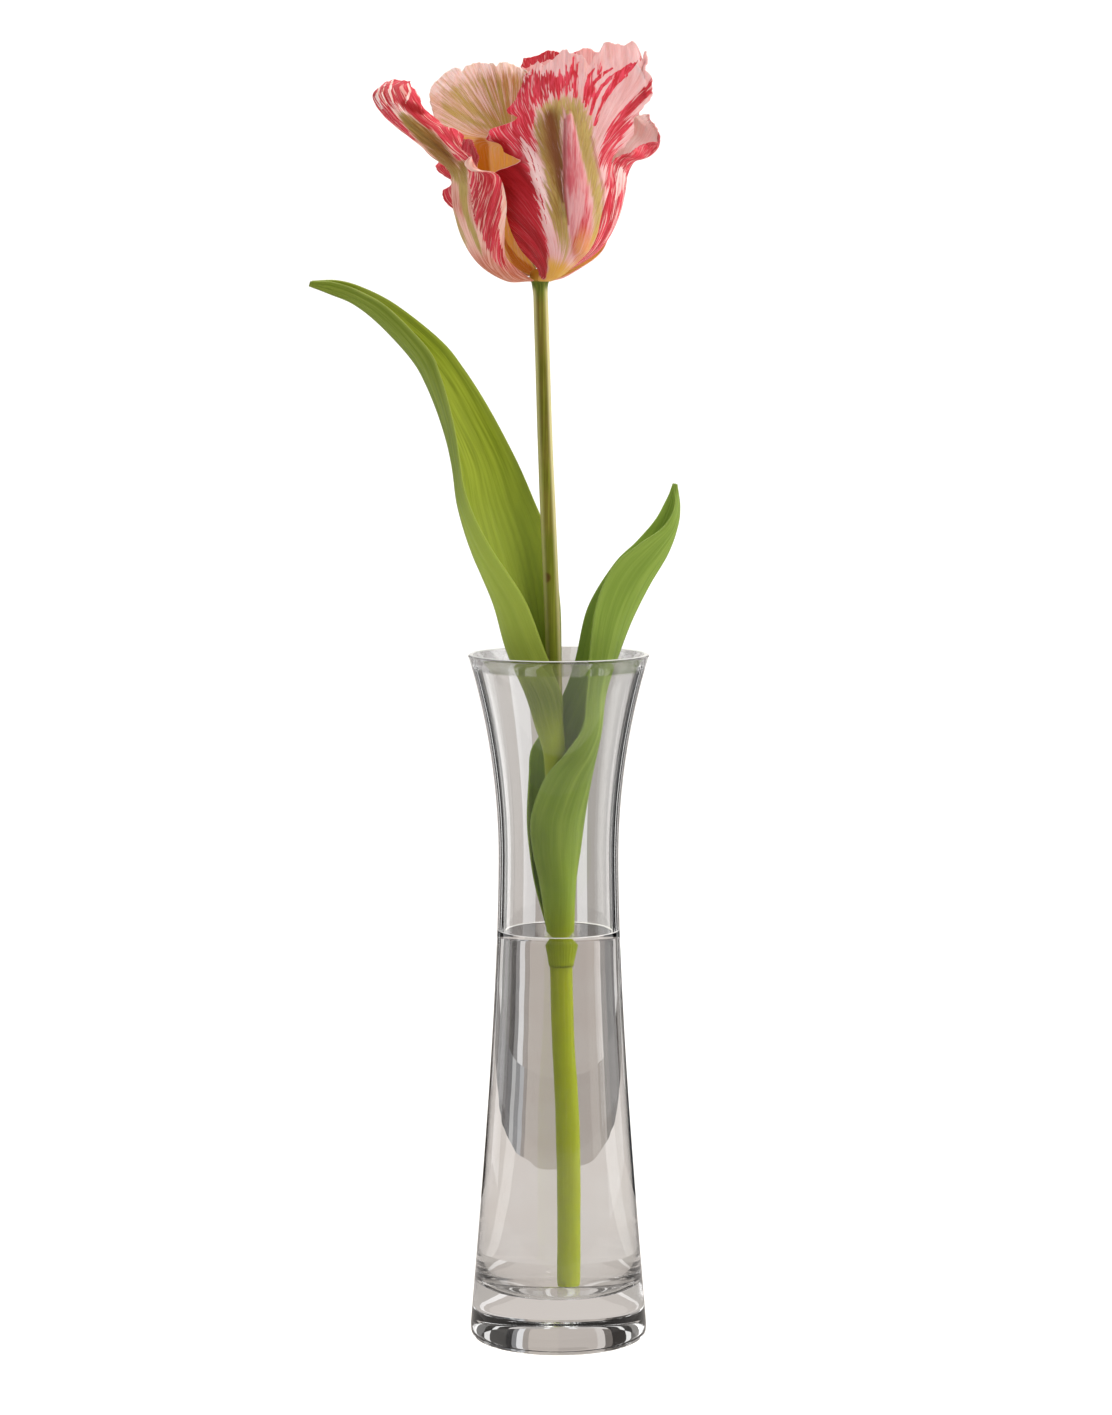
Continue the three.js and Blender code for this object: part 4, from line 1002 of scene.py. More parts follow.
    shade = 0.74 * painted(x, z, wing, 0.8) * (0.6 + 0.4 * smooth(20, 36, z))
    shade = shade + 0.7 * painted(x, z, crease, 2.2) + 0.4 * painted(x, z, valley, 2.2)
    marks["shade"] = np.clip(shade, 0, 1)
    return marks


def paint_outer_left(s, t, x, z):
    """Peach outside with a green midrib, crimson half beside the opening, olive and crimson tongue."""
    name = "tepal_outer_left"
    midrib = [
        (-26.9, 39, 1.6), (-26.5, 35.4, 1.6), (-26.6, 30.6, 1.6), (-26.3, 25.8, 1.4), (-25.3, 21, 1.2),
        (-23.4, 16.2, 1.1), (-21.8, 12, 0.8), (-20.5, 8.2, 0.5),
    ]
    side_rib = [(-30.6, 24, 0.6), (-29.2, 19.4, 1), (-27, 13.6, 1.3), (-25.7, 10.4, 0.8)]
    tongue = [
        (-28.6, 34, 1.3), (-31, 38.4, 2.2), (-34.4, 43, 2.9), (-38.6, 47.6, 3), (-43, 51.4, 2.5),
        (-48, 55.6, 1.5),
    ]
    half = [
        (-16.8, 38, 4.6), (-16.6, 32, 5.2), (-16.6, 26, 5.2), (-17.6, 20, 4.2), (-16.8, 14, 3.6),
        (-15.2, 9, 2.8), (-12.6, 4, 1.7),
    ]
    skirt = [(-22.4, 36, 1.9), (-22.6, 28, 2.1), (-21.2, 18, 1.6)]
    strip = [
        (-12.4, 35, 0.8), (-12.4, 24, 1), (-12.8, 18, 1.5), (-12.2, 11, 1.5), (-10.2, 5, 1.8), (-8, 2, 1.8),
    ]
    hollow = [(-47.5, 60, 1.2), (-44, 58.6, 1.6), (-41.5, 57, 1)]
    underside = [(-45, 56, 2.4), (-40, 52, 2), (-30, 40, 1.2)]
    arcs = [
        [(-51.8, 68.2, 0.3), (-52.8, 64.4, 0.4), (-51.4, 60.4, 0.2)],
        [(-46.4, 67, 0.4), (-45.6, 64.4, 0.5), (-47.2, 60, 0.2)],
        [(-55.8, 67, 0.3), (-57, 62.4, 0.4), (-55, 58.4, 0.2)],
        [(-54, 67.8, 0.1), (-55.2, 63.4, 0.2), (-53.4, 59.4, 0.1)],
    ]
    upper = [(-24, 42, 4.4), (-29, 47, 4.4), (-36, 53.6, 4.6), (-43, 59.4, 5.6), (-50, 66, 6.8), (-57, 66, 5)]
    lower_edge = [(-42, 46, 1.2), (-50, 53, 2), (-57, 60, 3.4)]
    left_side = [(-36, 37, 1), (-34, 30, 1.3), (-33, 24, 1.2)]
    marks = blank_marks(s)
    olive = layered(x, z, [(1, midrib, 1.5), (0.8, side_rib, 1.8), (1, tongue, 1.6)])
    marks["olive"] = combed(name, olive, 0.02)
    marks["light"] = smooth(38, 30, z)
    marks["bronze_and_shade"] = 0.75 * smooth(34, 42, z) * smooth(56, 44, z) + 0.5 * smooth(12, 4, z)
    flames = [
        (1.05, half, 0.8), (0.95, skirt, 1.4), (1.05, upper, 1.1),
        (0.8, lower_edge, 1.5), (0.5, left_side, 1.5),
    ]
    flame = combed(name, layered(x, z, flames), 0.03) * (1 - 0.9 * painted(x, z, strip)) * (1 - 0.85 * olive)
    flame = flame * (1 - 0.95 * layered(x, z, [(1, arc, 1.4) for arc in arcs]))
    marks["flamed"] = flame - 0.08
    marks["blush"] = 0.25 + 0.65 * smooth(14, 2, z) + 0.5 * bump(np.hypot(x + 29, z - 24), 0, 5)
    marks["blush"] = np.clip(marks["blush"] - 0.2 * painted(x, z, strip), 0, 1)
    marks["warm"] = 0.25 * smooth(10, -2, z)
    marks["pale"] = 0.6 * smooth(48, 58, z)
    marks["shade"] = 0.6 * painted(x, z, hollow, 1.2) + 0.3 * painted(x, z, underside, 1.6)
    marks["shade"] += 0.25 * painted(x, z, strip, 1.6) * smooth(24, 14, z)
    return marks


def paint_inner_right(s, t, x, z):
    """Streaked rose and crimson outside, with a rolled crimson lip."""
    marks = blank_marks(s)
    pale = painted(x, z, [(28.2, 38, 0.4), (28.8, 35, 1.5), (28, 31, 1.2), (26.6, 27, 0.3)], 1.5)
    flame = 0.84 + 0.2 * smooth(0.5, 0.7, s)
    marks["flamed"] = flame * smooth(0.02, 0.12, s) * (1 - 0.7 * pale) - 0.05
    marks["olive"] = 0.5 * bump(t, -0.05, 0.12) * smooth(0.55, 0.4, s) * smooth(0.05, 0.2, s)
    marks["light"] = np.full_like(s, 0.5)
    marks["blush"] = 0.3 + 0.4 * smooth(0.3, 0.05, s)
    marks["warm"] = 0.35 * smooth(0.2, 0.05, s)
    return marks


def paint_inside(name, s, t, vein_olive):
    """The inner face of a petal: cream with olive veins fanning from a yellow foot to a pink margin."""
    edge = np.abs(t)
    marks = blank_marks(s)
    rays = 0.5 + 0.5 * np.cos(fan_vein(name, s, t) * 14)
    marks["olive"] = vein_olive * (0.3 + 0.7 * rays) * smooth(1, 0.55, s) * smooth(0.98, 0.7, edge)
    marks["light"] = np.full_like(s, 0.5)
    marks["flamed"] = 0.4 * smooth(0.8, 1, s) - 0.1
    marks["blush"] = 0.55 * smooth(0.9, 0.5, s) * smooth(1, 0.6, edge)
    marks["warm"] = smooth(0.5, 0.24, s)
    return marks


def paint_back_inside(s, x, z):
    """Tall back petal, seen from its inside: olive rays from the yellow foot, a lilac margin."""
    marks = blank_marks(s)
    rays = [
        [(-11, 52, 0.9), (-16.6, 61, 0.9), (-21.7, 73.1, 0.6)],
        [(-11, 52, 0.8), (-14, 62.4, 0.8), (-15.8, 74, 0.5)],
        [(-12, 52.4, 1.2), (-22.9, 58.8, 1.5), (-31, 66, 1.6)],
        [(-14, 52, 0.9), (-26.5, 56, 1.1), (-36, 62, 0.8)],
    ]
    # The ochre patch is the yellow foot, darkened as painted shade where the inside of the heart lies in
    # shade.
    ochre = [
        (-21.6, 46.6, 3.1), (-21.6, 42, 3.1), (-20.2, 36, 2.2), (-16.6, 22, 0.8), (-12.4, 11, 0.6),
        (-9, 5.4, 1.6), (-5, 1, 3),
    ]
    bands = layered(x, z, [(1, ray, 2.2) for ray in rays])
    inner = smooth(1, 0.88, s) * smooth(-38, -34, x)
    marks["olive"] = (0.38 + 0.45 * bands) * inner * smooth(48, 54, z)
    marks["light"] = 0.45 + 0.55 * smooth(-14, -30, x)
    marks["blush"] = (0.25 + 0.6 * smooth(-30, -12, x)) * smooth(1, 0.88, s)
    marks["warm"] = 0.75 * smooth(54, 47, z + 0.12 * (x + 18))
    orange = painted(x, z, ochre, 0.5)
    marks["bronze_and_shade"] = orange
    marks["warm"] = np.maximum(marks["warm"], orange)
    marks["flamed"] = np.full_like(s, -0.2)
    return marks


def petal_marks(name, s, t, x, z):
    """Marks of a petal's outer and inner face."""
    outside = {
        "tepal_outer_front": paint_outer_front,
        "tepal_outer_left": paint_outer_left,
        "tepal_inner_right": paint_inner_right,
    }.get(name, paint_outside)
    outer = outside(s, t, x, z)
    if name == "tepal_inner_back":
        return outer, paint_back_inside(s, x, z)
    inner = paint_inside(name, s, t, 0.4 if name == "tepal_inner_left" else 0.3)
    if name == "tepal_outer_back":
        red = painted(x, z, [(-6, 77, 1.6), (0.5, 79.5, 2), (6, 80.5, 1.6)], 1)
        rim = 0.9 * smooth(0.93, 1, s) * smooth(0, 0.6, t)
        inner["flamed"] = 1.1 * red + rim - 0.08
    if name == "tepal_outer_left":
        inner["flamed"] = inner["flamed"] + 0.9 * smooth(0.5, 0.62, s)
        inner["olive"] = inner["olive"] * smooth(0.5, 0.4, s)
    if name == "tepal_inner_right":
        lip = smooth(0.2, -0.5, t) * smooth(0.62, 0.72, s)
        inner["flamed"] = inner["flamed"] + 1.1 * lip
        inner["olive"] = inner["olive"] * smooth(0.6, 0.45, s) * smooth(0.5, 0.3, s)
        # Its inside is kept pale, in part painted light where light comes through the petal.
        inner["blush"] = 0 * s
    if name == "tepal_inner_left":
        inner["warm"] = smooth(1, 0.7, s) * smooth(-0.95, -0.5, t)
        inner["bronze_and_shade"] = inner["warm"] * 0.15
        inner["flamed"] = inner["flamed"] + 0.9 * smooth(-0.7, -0.95, t)
        outer["flamed"] = np.maximum(outer["flamed"], 0.75 * smooth(-0.2, -0.7, t) * smooth(0.1, 0.3, s))
        outer["olive"] = outer["olive"] * 0.2
        for face in (outer, inner):
            face["flamed"] = face["flamed"] + 0.9 * smooth(0.76, 0.84, s)
            face["warm"] = face["warm"] * smooth(0.84, 0.76, s)
    return outer, inner


# Height of a petal's ribs in mm, and the length of a streak of colour along the veins.
RIB_HEIGHT = 0.07
STREAK_LENGTH = 14
# How many streaks lie side by side over half a petal, before the veins open and after.
GRAIN_LINES = 6
COMB_LINES = 26
# How far the inner face's pattern lies from the outer face's, so that they differ.
BEHIND = np.array([0, 0, 50])

# The raised midrib pleat of the front petal and the hollow beside it: [x, z, half width].
PLEAT = [(10.2, 56, 0.8), (10.9, 46, 1.8), (12, 36.6, 2.6), (13.6, 24, 3.2), (13.9, 10, 2.2)]
HOLLOW = [(4.4, 56, 2.6), (5.2, 44, 2.8), (6.4, 33, 2.4), (7.6, 22, 2)]


def teeth(grid, s, t, settings, seed):
    """Fine teeth and curls of the margin."""
    up, side, out = directions(grid)
    edge = np.abs(t)
    hand = np.sign(t)
    span = np.linalg.norm(np.diff(grid[:, 0], axis=0), axis=1).sum()
    spacing = settings.tooth_spacing / MM
    depth = settings.tooth_depth / MM
    phase = s * span / spacing
    saw = ripple(phase * 6.283 * 0.5, seed, 4)
    near_side = edge ** 24 * smooth(0.35, 0.6, s)
    grid = grid + side * (hand * saw * depth * near_side)[..., None]
    width = np.linalg.norm(np.diff(grid[-1], axis=0), axis=1).sum()
    notches = ripple(t * width / spacing * 1.6, seed + 1, 4)
    grid = grid + up * (notches * depth * 1.2 * smooth(0.93, 1, s))[..., None]
    curl = ripple(s * span / 5 * 3.1 + hand, seed + 2, 3) * edge**6 * smooth(0.3, 0.6, s)
    curl = curl + ripple(t * width / 6 * 3.1, seed + 3, 3) * smooth(0.8, 1, s)
    return grid + out * (curl * settings.curl / MM)[..., None]


def make_petal(name, settings, rows, columns, seed):
    """One petal with its ribs, pleat, toothed margin and marks."""
    grid, s, t, s_grown, t_grown = sheet_grid(PETALS[name], rows, columns)
    grid = teeth(grid, s, t, settings, seed)
    _, _, out = directions(grid)
    veins = fan_vein(name, s_grown, t_grown)
    opened = smooth(0.42, 0.85, fan_width(name, s, t))
    fanned = 0
    if name == "tepal_inner_back":
        far, high = -(grid[..., 0] + 9), grid[..., 2] - 42
        fanned = (1.7 * np.arctan2(high, far) - veins) * smooth(46, 52, grid[..., 2])
    ribs = RIB_HEIGHT * (1 - 0.5 * opened) * ripple(veins * 16, seed + 5, 4) * smooth(0.08, 0.3, s)
    pleat = 0
    if name == "tepal_outer_front":
        x, z = grid[..., 0], grid[..., 2]
        pleat = 1.3 * painted(x, z, PLEAT, 1.6) - 1.5 * painted(x, z, HOLLOW, 1.8)
    grid = grid + out * (ribs + pleat)[..., None]
    outer, inner = petal_marks(name, s, t, grid[..., 0], grid[..., 2])
    length = np.linalg.norm(np.diff(grid[:, columns // 2], axis=0), axis=1).sum()
    lengthwise = s_grown * length / STREAK_LENGTH
    own = np.full_like(s, seed * 3.7)
    grain = np.stack([veins * GRAIN_LINES, lengthwise, own], -1)
    comb = np.stack([veins * COMB_LINES, lengthwise * 1.1, own + 9], -1)
    inside = np.stack([fanned + 0 * s, 0 * s, 0 * s], -1)
    attributes = {key: (outer[key] + 0 * s, inner[key] + 0 * s) for key in outer}
    attributes["grain"] = (grain, grain + GRAIN_LINES * inside + BEHIND)
    attributes["comb"] = (comb, comb + COMB_LINES * inside + BEHIND)
    attributes["opened"] = (opened, opened)
    margin = np.maximum(np.abs(t) ** 6, smooth(0.85, 1, s) ** 2)
    half = (settings.thickness / MM / 2) * (1 - 0.55 * margin)
    uv = np.stack([(t + 1) / 2, s], -1)
    return two_faced(name + "_fine", grid + BLOOM_SEAT, half, attributes, uv)


# ---- leaves and stem --------------------------------------------------------------------------------


def make_leaf(name, settings, rows, columns, seed):
    """One leaf blade with its sheath, keel and parallel veins."""
    grid, s, t, _, _ = sheet_grid(LEAVES[name], rows, columns)
    _, _, out = directions(grid)
    ribs = 0.06 * ripple(t * 46, seed, 4) * smooth(0.05, 0.2, s)
    keel = 0.35 * bump(t, 0, 0.07) * smooth(0.15, 0.4, s) * smooth(1, 0.8, s)
    wave = 0.5 * ripple(s * 26, seed + 1, 3) * np.abs(t) ** 4 * smooth(0.3, 0.5, s)
    grid = grid + out * (ribs + keel + wave)[..., None]
    length = np.linalg.norm(np.diff(grid[:, columns // 2], axis=0), axis=1).sum()
    grain = np.stack([t * 13, s * length / 40, np.full_like(s, seed * 5.1)], -1)
    ones = np.ones_like(s)
    # On the upper leaf young dips below 0 round s = 0.34, where a painted highlight goes.
    young = smooth(0.3, 0, s) - (0.6 * bump(s, 0.34, 0.17) if name == "leaf_upper" else 0)
    margin = np.abs(t) ** 30
    attributes = {
        "grain": (grain, grain + np.array([0, 0, 20])),
        "inside": (0 * ones, ones),
        "young": (young, young),
        "margin": (margin, margin),
    }
    half = (settings.thickness / MM / 2) * (1 - 0.45 * np.abs(t) ** 6) * (0.3 + 0.7 * smooth(0, 0.07, s))
    uv = np.stack([(t + 1) / 2, s], -1)
    return two_faced(name + "_fine", grid, half, attributes, uv)


# The stem's path: x, y, z and girth.
STEM_LINE = [
    [2.8, 0, 18.8, 3.15],
    [2.8, 0, 57, 3.25],
    [2.3, 0, 85, 3.2],
    [1.2, 0, 113, 3.05],
    [0.5, 0, 150, 3],
    [-0.4, 0, 190, 2.95],
    [-1.2, 0, 222, 2.9],
    [-2, 0, 255, 2.85],
    [-3.2, 0, 287, 2.8],
    [-4.7, 0, 323, 2.7],
    [-5.7, 0, 355, 2.62],
    [-6.4, 0, 378, 2.6],
]


# The receptacle that carries the petals: height from the bloom's seat, and girth.
RECEPTACLE = [(-4, 2.8), (-2.4, 3.1), (-1, 3.8), (0.8, 3.7), (1.8, 3.2), (2.6, 1.8)]


def stem_path():
    """Points and girths of the stem, from its cut end up through the receptacle."""
    rows = along(STEM_LINE, np.linspace(0, 1, 150))
    x, y, z = BLOOM_SEAT
    crown = along([[x, y, z + up, girth] for up, girth in RECEPTACLE], np.linspace(0, 1, 18))
    rows = np.vstack([rows, crown])
    girths = rows[:, 3] * (1 + 0.012 * ripple(rows[:, 2] * 0.11, 4, 3))
    girths[0] = rows[0, 3] * 0.93
    return rows[:, :3], girths


# ---- vase and water ---------------------------------------------------------------------------------

# The pulls shape the S-curve below the waist, the flare is the radius of the arc above it.
VASE = {
    "height": 250.0,
    "foot": 32.0,
    "foot_flat": 29.0,
    "foot_round": [(29.9, 0.12), (30.8, 0.55), (31.5, 1.3), (31.86, 2.4), (31.98, 3.6)],
    "foot_corner": 5.0,
    "pulls": [(28.4, 50.0), (22.0, 120.0)],
    "waist": 21.65,
    "waist_height": 176.0,
    "flare": 254.0,
    "lip": 1.2,
    "wall_top": 2.4,
    "wall_foot": 4.4,
    "wall_thin_from": 110.0,
    "floor": 18.5,
    "floor_corner": 7.0,
    "water": 149.5,
}


def vase_radius(z):
    """Outer radius of the vase at a height: a long S-curve below the waist, one arc above it."""
    z = np.asarray(z, float)
    foot, waist = (VASE["foot"], VASE["foot_corner"]), (VASE["waist"], VASE["waist_height"])
    knots = np.array([foot, *VASE["pulls"], waist])
    u = np.linspace(0, 1, 400)
    weights = np.stack([(1 - u) ** 3, 3 * u * (1 - u) ** 2, 3 * u**2 * (1 - u), u**3], -1)
    side = weights @ knots
    low = np.interp(z, side[:, 1], side[:, 0])
    rise = np.maximum(z - VASE["waist_height"], 0)
    high = VASE["waist"] + VASE["flare"] - np.sqrt(VASE["flare"] ** 2 - rise**2)
    return np.where(z > VASE["waist_height"], high, low)


def bore_radius(z):
    """Inner radius of the vase at a height."""
    thinned = smooth(VASE["floor"], VASE["wall_thin_from"], np.asarray(z, float))
    return vase_radius(z) - (VASE["wall_foot"] + (VASE["wall_top"] - VASE["wall_foot"]) * thinned)


def inside_line(top, steps, clearance):
    """Profile of the hollow from the middle of the glass floor up to a height."""
    start = VASE["floor"] + VASE["floor_corner"]
    reach = float(bore_radius(start)) - clearance
    rows = [(r, VASE["floor"] + clearance) for r in np.linspace(0, reach - VASE["floor_corner"], 8)]
    for angle in np.linspace(0, math.pi / 2, 14)[1:]:
        rows.append((
            reach - VASE["floor_corner"] * (1 - math.sin(angle)),
            VASE["floor"] + clearance + (VASE["floor_corner"] - clearance) * (1 - math.cos(angle)),
        ))
    for z in np.linspace(start, top, steps + 1)[1:]:
        rows.append((float(bore_radius(z)) - clearance, z))
    return rows


def vase_profile():
    """Closed profile of the vase, from the middle of its underside round the rim to its glass floor."""
    lip, top = VASE["lip"], VASE["height"] - VASE["lip"]
    rows = [(r, 0.0) for r in np.linspace(0, VASE["foot_flat"], 8)] + VASE["foot_round"]
    for z in np.linspace(VASE["foot_corner"], top, 90):
        rows.append((float(vase_radius(z)), z))
    middle = float(vase_radius(VASE["height"])) - VASE["wall_top"] / 2
    for angle in np.linspace(0.25, math.pi - 0.25, 9):
        rows.append((middle + lip * math.cos(angle) * 0.98, top + lip * math.sin(angle)))
    return rows + inside_line(top, 90, 0.0)[::-1]


def water_profile(overlap, meniscus):
    """Closed profile of the water, let into the glass by a hair, with its edge drawn up the wall."""
    top = VASE["water"]
    rows = inside_line(top, 50, -overlap)
    rim = float(bore_radius(top)) + overlap
    rows[-1] = (rim, top + meniscus)
    for gap in (0.15, 0.3, 0.5, 0.8, 1.2, 1.8, 3.0, 6.0, 10.0):
        rows.append((rim - gap, top + meniscus * math.exp(-gap / 0.5)))
    rows.append((0.0, top))
    return rows


# ---- settings ---------------------------------------------------------------------------------------


class TulipPetalSettings(bpy.types.PropertyGroup):
    """Sizes and colours of the petals."""

    thickness: FloatProperty(
        name="Thickness", description="Thickness of a petal's middle", default=0.0008, unit="LENGTH"
    )
    tooth_depth: FloatProperty(
        name="Tooth depth",
        description="Depth of the fine teeth of the margin",
        default=0.00018,
        unit="LENGTH",
    )
    tooth_spacing: FloatProperty(
        name="Tooth spacing", description="Distance between teeth", default=0.0016, unit="LENGTH"
    )
    curl: FloatProperty(
        name="Curl", description="Depth of the small curls of the margin", default=0.0003, unit="LENGTH"
    )
    glow: FloatProperty(
        name="Glow", description="Share of light that goes through the tissue", default=0.3, subtype="FACTOR"
    )
    crimson: FloatVectorProperty(
        name="Crimson", description="Main flame colour", subtype="COLOR", default=linear("#c4182a")
    )
    crimson_light: FloatVectorProperty(
        name="Light crimson", description="Lighter flame streaks", subtype="COLOR", default=linear("#e2485e")
    )
    crimson_dark: FloatVectorProperty(
        name="Dark crimson", description="Deep flame streaks", subtype="COLOR", default=linear("#9a0810")
    )
    olive_dark: FloatVectorProperty(
        name="Dark olive", description="Darker green of the bands", subtype="COLOR", default=linear("#8a6a20")
    )
    olive_light: FloatVectorProperty(
        name="Light olive",
        description="Lighter green of the bands",
        subtype="COLOR",
        default=linear("#c0a862"),
    )
    warm: FloatVectorProperty(
        name="Foot yellow",
        description="Yellow of the petal's foot",
        subtype="COLOR",
        default=linear("#dba64c"),
    )


class TulipLeafSettings(bpy.types.PropertyGroup):
    """Sizes and colours of the leaves."""

    thickness: FloatProperty(
        name="Thickness", description="Thickness of a leaf's middle", default=0.001, unit="LENGTH"
    )
    deep: FloatVectorProperty(
        name="Deep green", description="Darker green outside", subtype="COLOR", default=linear("#62751a")
    )
    green: FloatVectorProperty(
        name="Green", description="Lighter green outside", subtype="COLOR", default=linear("#86943a")
    )
    green_inside: FloatVectorProperty(
        name="Inner green",
        description="Darker green of the inner face",
        subtype="COLOR",
        default=linear("#748412"),
    )
    lime: FloatVectorProperty(
        name="Lime", description="Bright streaks of the blade", subtype="COLOR", default=linear("#a0b032")
    )
    shadow: FloatVectorProperty(
        name="Dark patches", description="Deeper green patches", subtype="COLOR", default=linear("#64751a")
    )
    # Pale green of the wax bloom; on the cooler leaf's inner face it is also painted light.
    frosted_and_lit: FloatVectorProperty(
        name="Frosted green",
        description="Wax bloom of the cooler leaf",
        subtype="COLOR",
        default=linear("#98ba5a"),
    )
    # The pale green of a painted highlight low on the upper leaf.
    lit: FloatVectorProperty(
        name="Lit green",
        description="Pale green where the blade opens",
        subtype="COLOR",
        default=linear("#a6b84a"),
    )
    sheath: FloatVectorProperty(
        name="Sheath foot",
        description="Lime of the sheath's foot",
        subtype="COLOR",
        default=linear("#8e9e08"),
    )
    young: FloatVectorProperty(
        name="Sheath", description="Pale green of the sheath", subtype="COLOR", default=linear("#789612")
    )
    edge: FloatVectorProperty(
        name="Edge", description="Pale line of the margin", subtype="COLOR", default=linear("#a8b662")
    )


class TulipStemSettings(bpy.types.PropertyGroup):
    """Colours of the stem."""

    seat: FloatVectorProperty(
        name="Seat", description="Ochre where the petals grow", subtype="COLOR", default=linear("#bf8c34")
    )
    # Painted shade: the darker green right under the bloom.
    collar_shade: FloatVectorProperty(
        name="Collar", description="Green right under the bloom", subtype="COLOR", default=linear("#56661e")
    )
    # Paler at the flanks: in part the bloom of wax, in part painted sheen.
    wax: FloatVectorProperty(
        name="Wax",
        description="Pale bloom of wax that shows at the flanks",
        subtype="COLOR",
        default=linear("#d2ca92"),
    )
    steps: IntProperty(name="Steps around", description="Faces round the stem", default=40, min=8)
    lime: FloatVectorProperty(
        name="Lime", description="Colour under water", subtype="COLOR", default=linear("#98a60e")
    )
    green: FloatVectorProperty(
        name="Green", description="Colour in the vase", subtype="COLOR", default=linear("#6c7a16")
    )
    olive: FloatVectorProperty(
        name="Olive", description="Colour below the bloom", subtype="COLOR", default=linear("#555a08")
    )
    blush: FloatVectorProperty(
        name="Blush", description="Brown blush of the flanks", subtype="COLOR", default=linear("#8a6a3a")
    )
    line: FloatVectorProperty(
        name="Fibre", description="Pale lengthwise fibres", subtype="COLOR", default=linear("#a2aa3c")
    )


class TulipVaseSettings(bpy.types.PropertyGroup):
    """Sizes and colours of the vase and its water."""

    steps: IntProperty(name="Steps around", description="Faces round the vase", default=128, min=24)
    tint: FloatVectorProperty(
        name="Glass tint", description="Grey of the glass", subtype="COLOR", default=linear("#f8f7f6")
    )
    tint_light: FloatVectorProperty(
        name="Clear tint",
        description="Clearer parts of the glass",
        subtype="COLOR",
        default=linear("#fbfbfa"),
    )
    meniscus: FloatProperty(
        name="Meniscus", description="Rise of the water at the wall", default=0.0004, unit="LENGTH"
    )
    overlap: FloatProperty(
        name="Overlap", description="How far the water is let into the glass", default=0.00015, unit="LENGTH"
    )


class TulipWaterSettings(bpy.types.PropertyGroup):
    """Colour of the water."""

    tint: FloatVectorProperty(
        name="Water tint", description="Colour of the water", subtype="COLOR", default=linear("#fbf9f8")
    )


class TulipStageSettings(bpy.types.PropertyGroup):
    """Camera, floor and light."""

    camera_height: FloatProperty(
        name="Camera height", description="Height above the floor", default=0.38, unit="LENGTH"
    )
    camera_distance: FloatProperty(
        name="Camera distance", description="Distance in front", default=1.49, unit="LENGTH"
    )
    camera_pitch: FloatProperty(
        name="Camera pitch",
        description="Angle below the horizontal",
        default=math.radians(5.73),
        subtype="ANGLE",
    )
    floor: FloatVectorProperty(
        name="Floor", description="Colour of the floor", subtype="COLOR", default=linear("#f4f3f1")
    )


# ---- operators --------------------------------------------------------------------------------------


# Height of the frame and focal length in pixels, and the camera's sideways place in metres.
FRAME_HEIGHT = 1415.0
FOCAL_LENGTH = 4160.0
EYE_X = -0.0009
# Each softbox: place, aim and size in metres, power in watts and colour.
LAMPS = {
    "key": ((1.1, -1.0, 1.3), (0.0, 0.0, 0.3), 0.7, 14.0, "#fff6ee"),
    "fill": ((-1.5, -0.9, 0.9), (0.0, 0.0, 0.25), 1.2, 5.0, "#fafaff"),
    "top": ((0.2, 0.7, 1.7), (0.0, 0.9, 0.0), 1.6, 26.0, "#ffffff"),
    "side": ((1.6, 0.3, 0.5), (0.0, 0.0, 0.28), 0.8, 9.0, "#fffaf2"),
}


class TULIP_OT_stage(bpy.types.Operator):
    """Set up the floor, the light and the camera"""

    bl_idname = "tulip.stage"
    bl_label = "Stage"

    def execute(self, context):
        settings = context.scene.tulip_stage
        scene = context.scene
        scene.view_settings.view_transform = "Standard"
        camera = bpy.data.cameras.new("camera")
        camera.sensor_fit = "VERTICAL"
        camera.sensor_height = 36.0
        camera.lens = camera.sensor_height * FOCAL_LENGTH / FRAME_HEIGHT
        eye = bpy.data.objects.new("camera", camera)
        eye.location = (EYE_X, -settings.camera_distance, settings.camera_height)
        eye.rotation_euler = (math.pi / 2 - settings.camera_pitch, 0, 0)
        scene.collection.objects.link(eye)
        scene.camera = eye
        floor_sweep(settings)
        for name, lamp in LAMPS.items():
            soft_light(name, *lamp)
        reflectors()
        world = bpy.data.worlds.new("studio")
        world.use_nodes = True
        tree = world.node_tree
        tree.nodes["Background"].inputs["Color"].default_value = rgba("#ffffff")
        tree.nodes["Background"].inputs["Strength"].default_value = 0.45
        scene.world = world
        return {"FINISHED"}


# Glowing cards that stand round the vase and show only in and through the glass, as painted reflections, in
# three tiers from the table up. Each tier gives its top in metres and its strips: end of the strip in degrees
# from straight behind the vase, colour and strength.
SIDES = {-1: [(78, "#ffffff", 1.9), (125, "#b4b0ad")], 1: [(102, "#ffffff", 1.5), (125, "#b4b0ad")]}
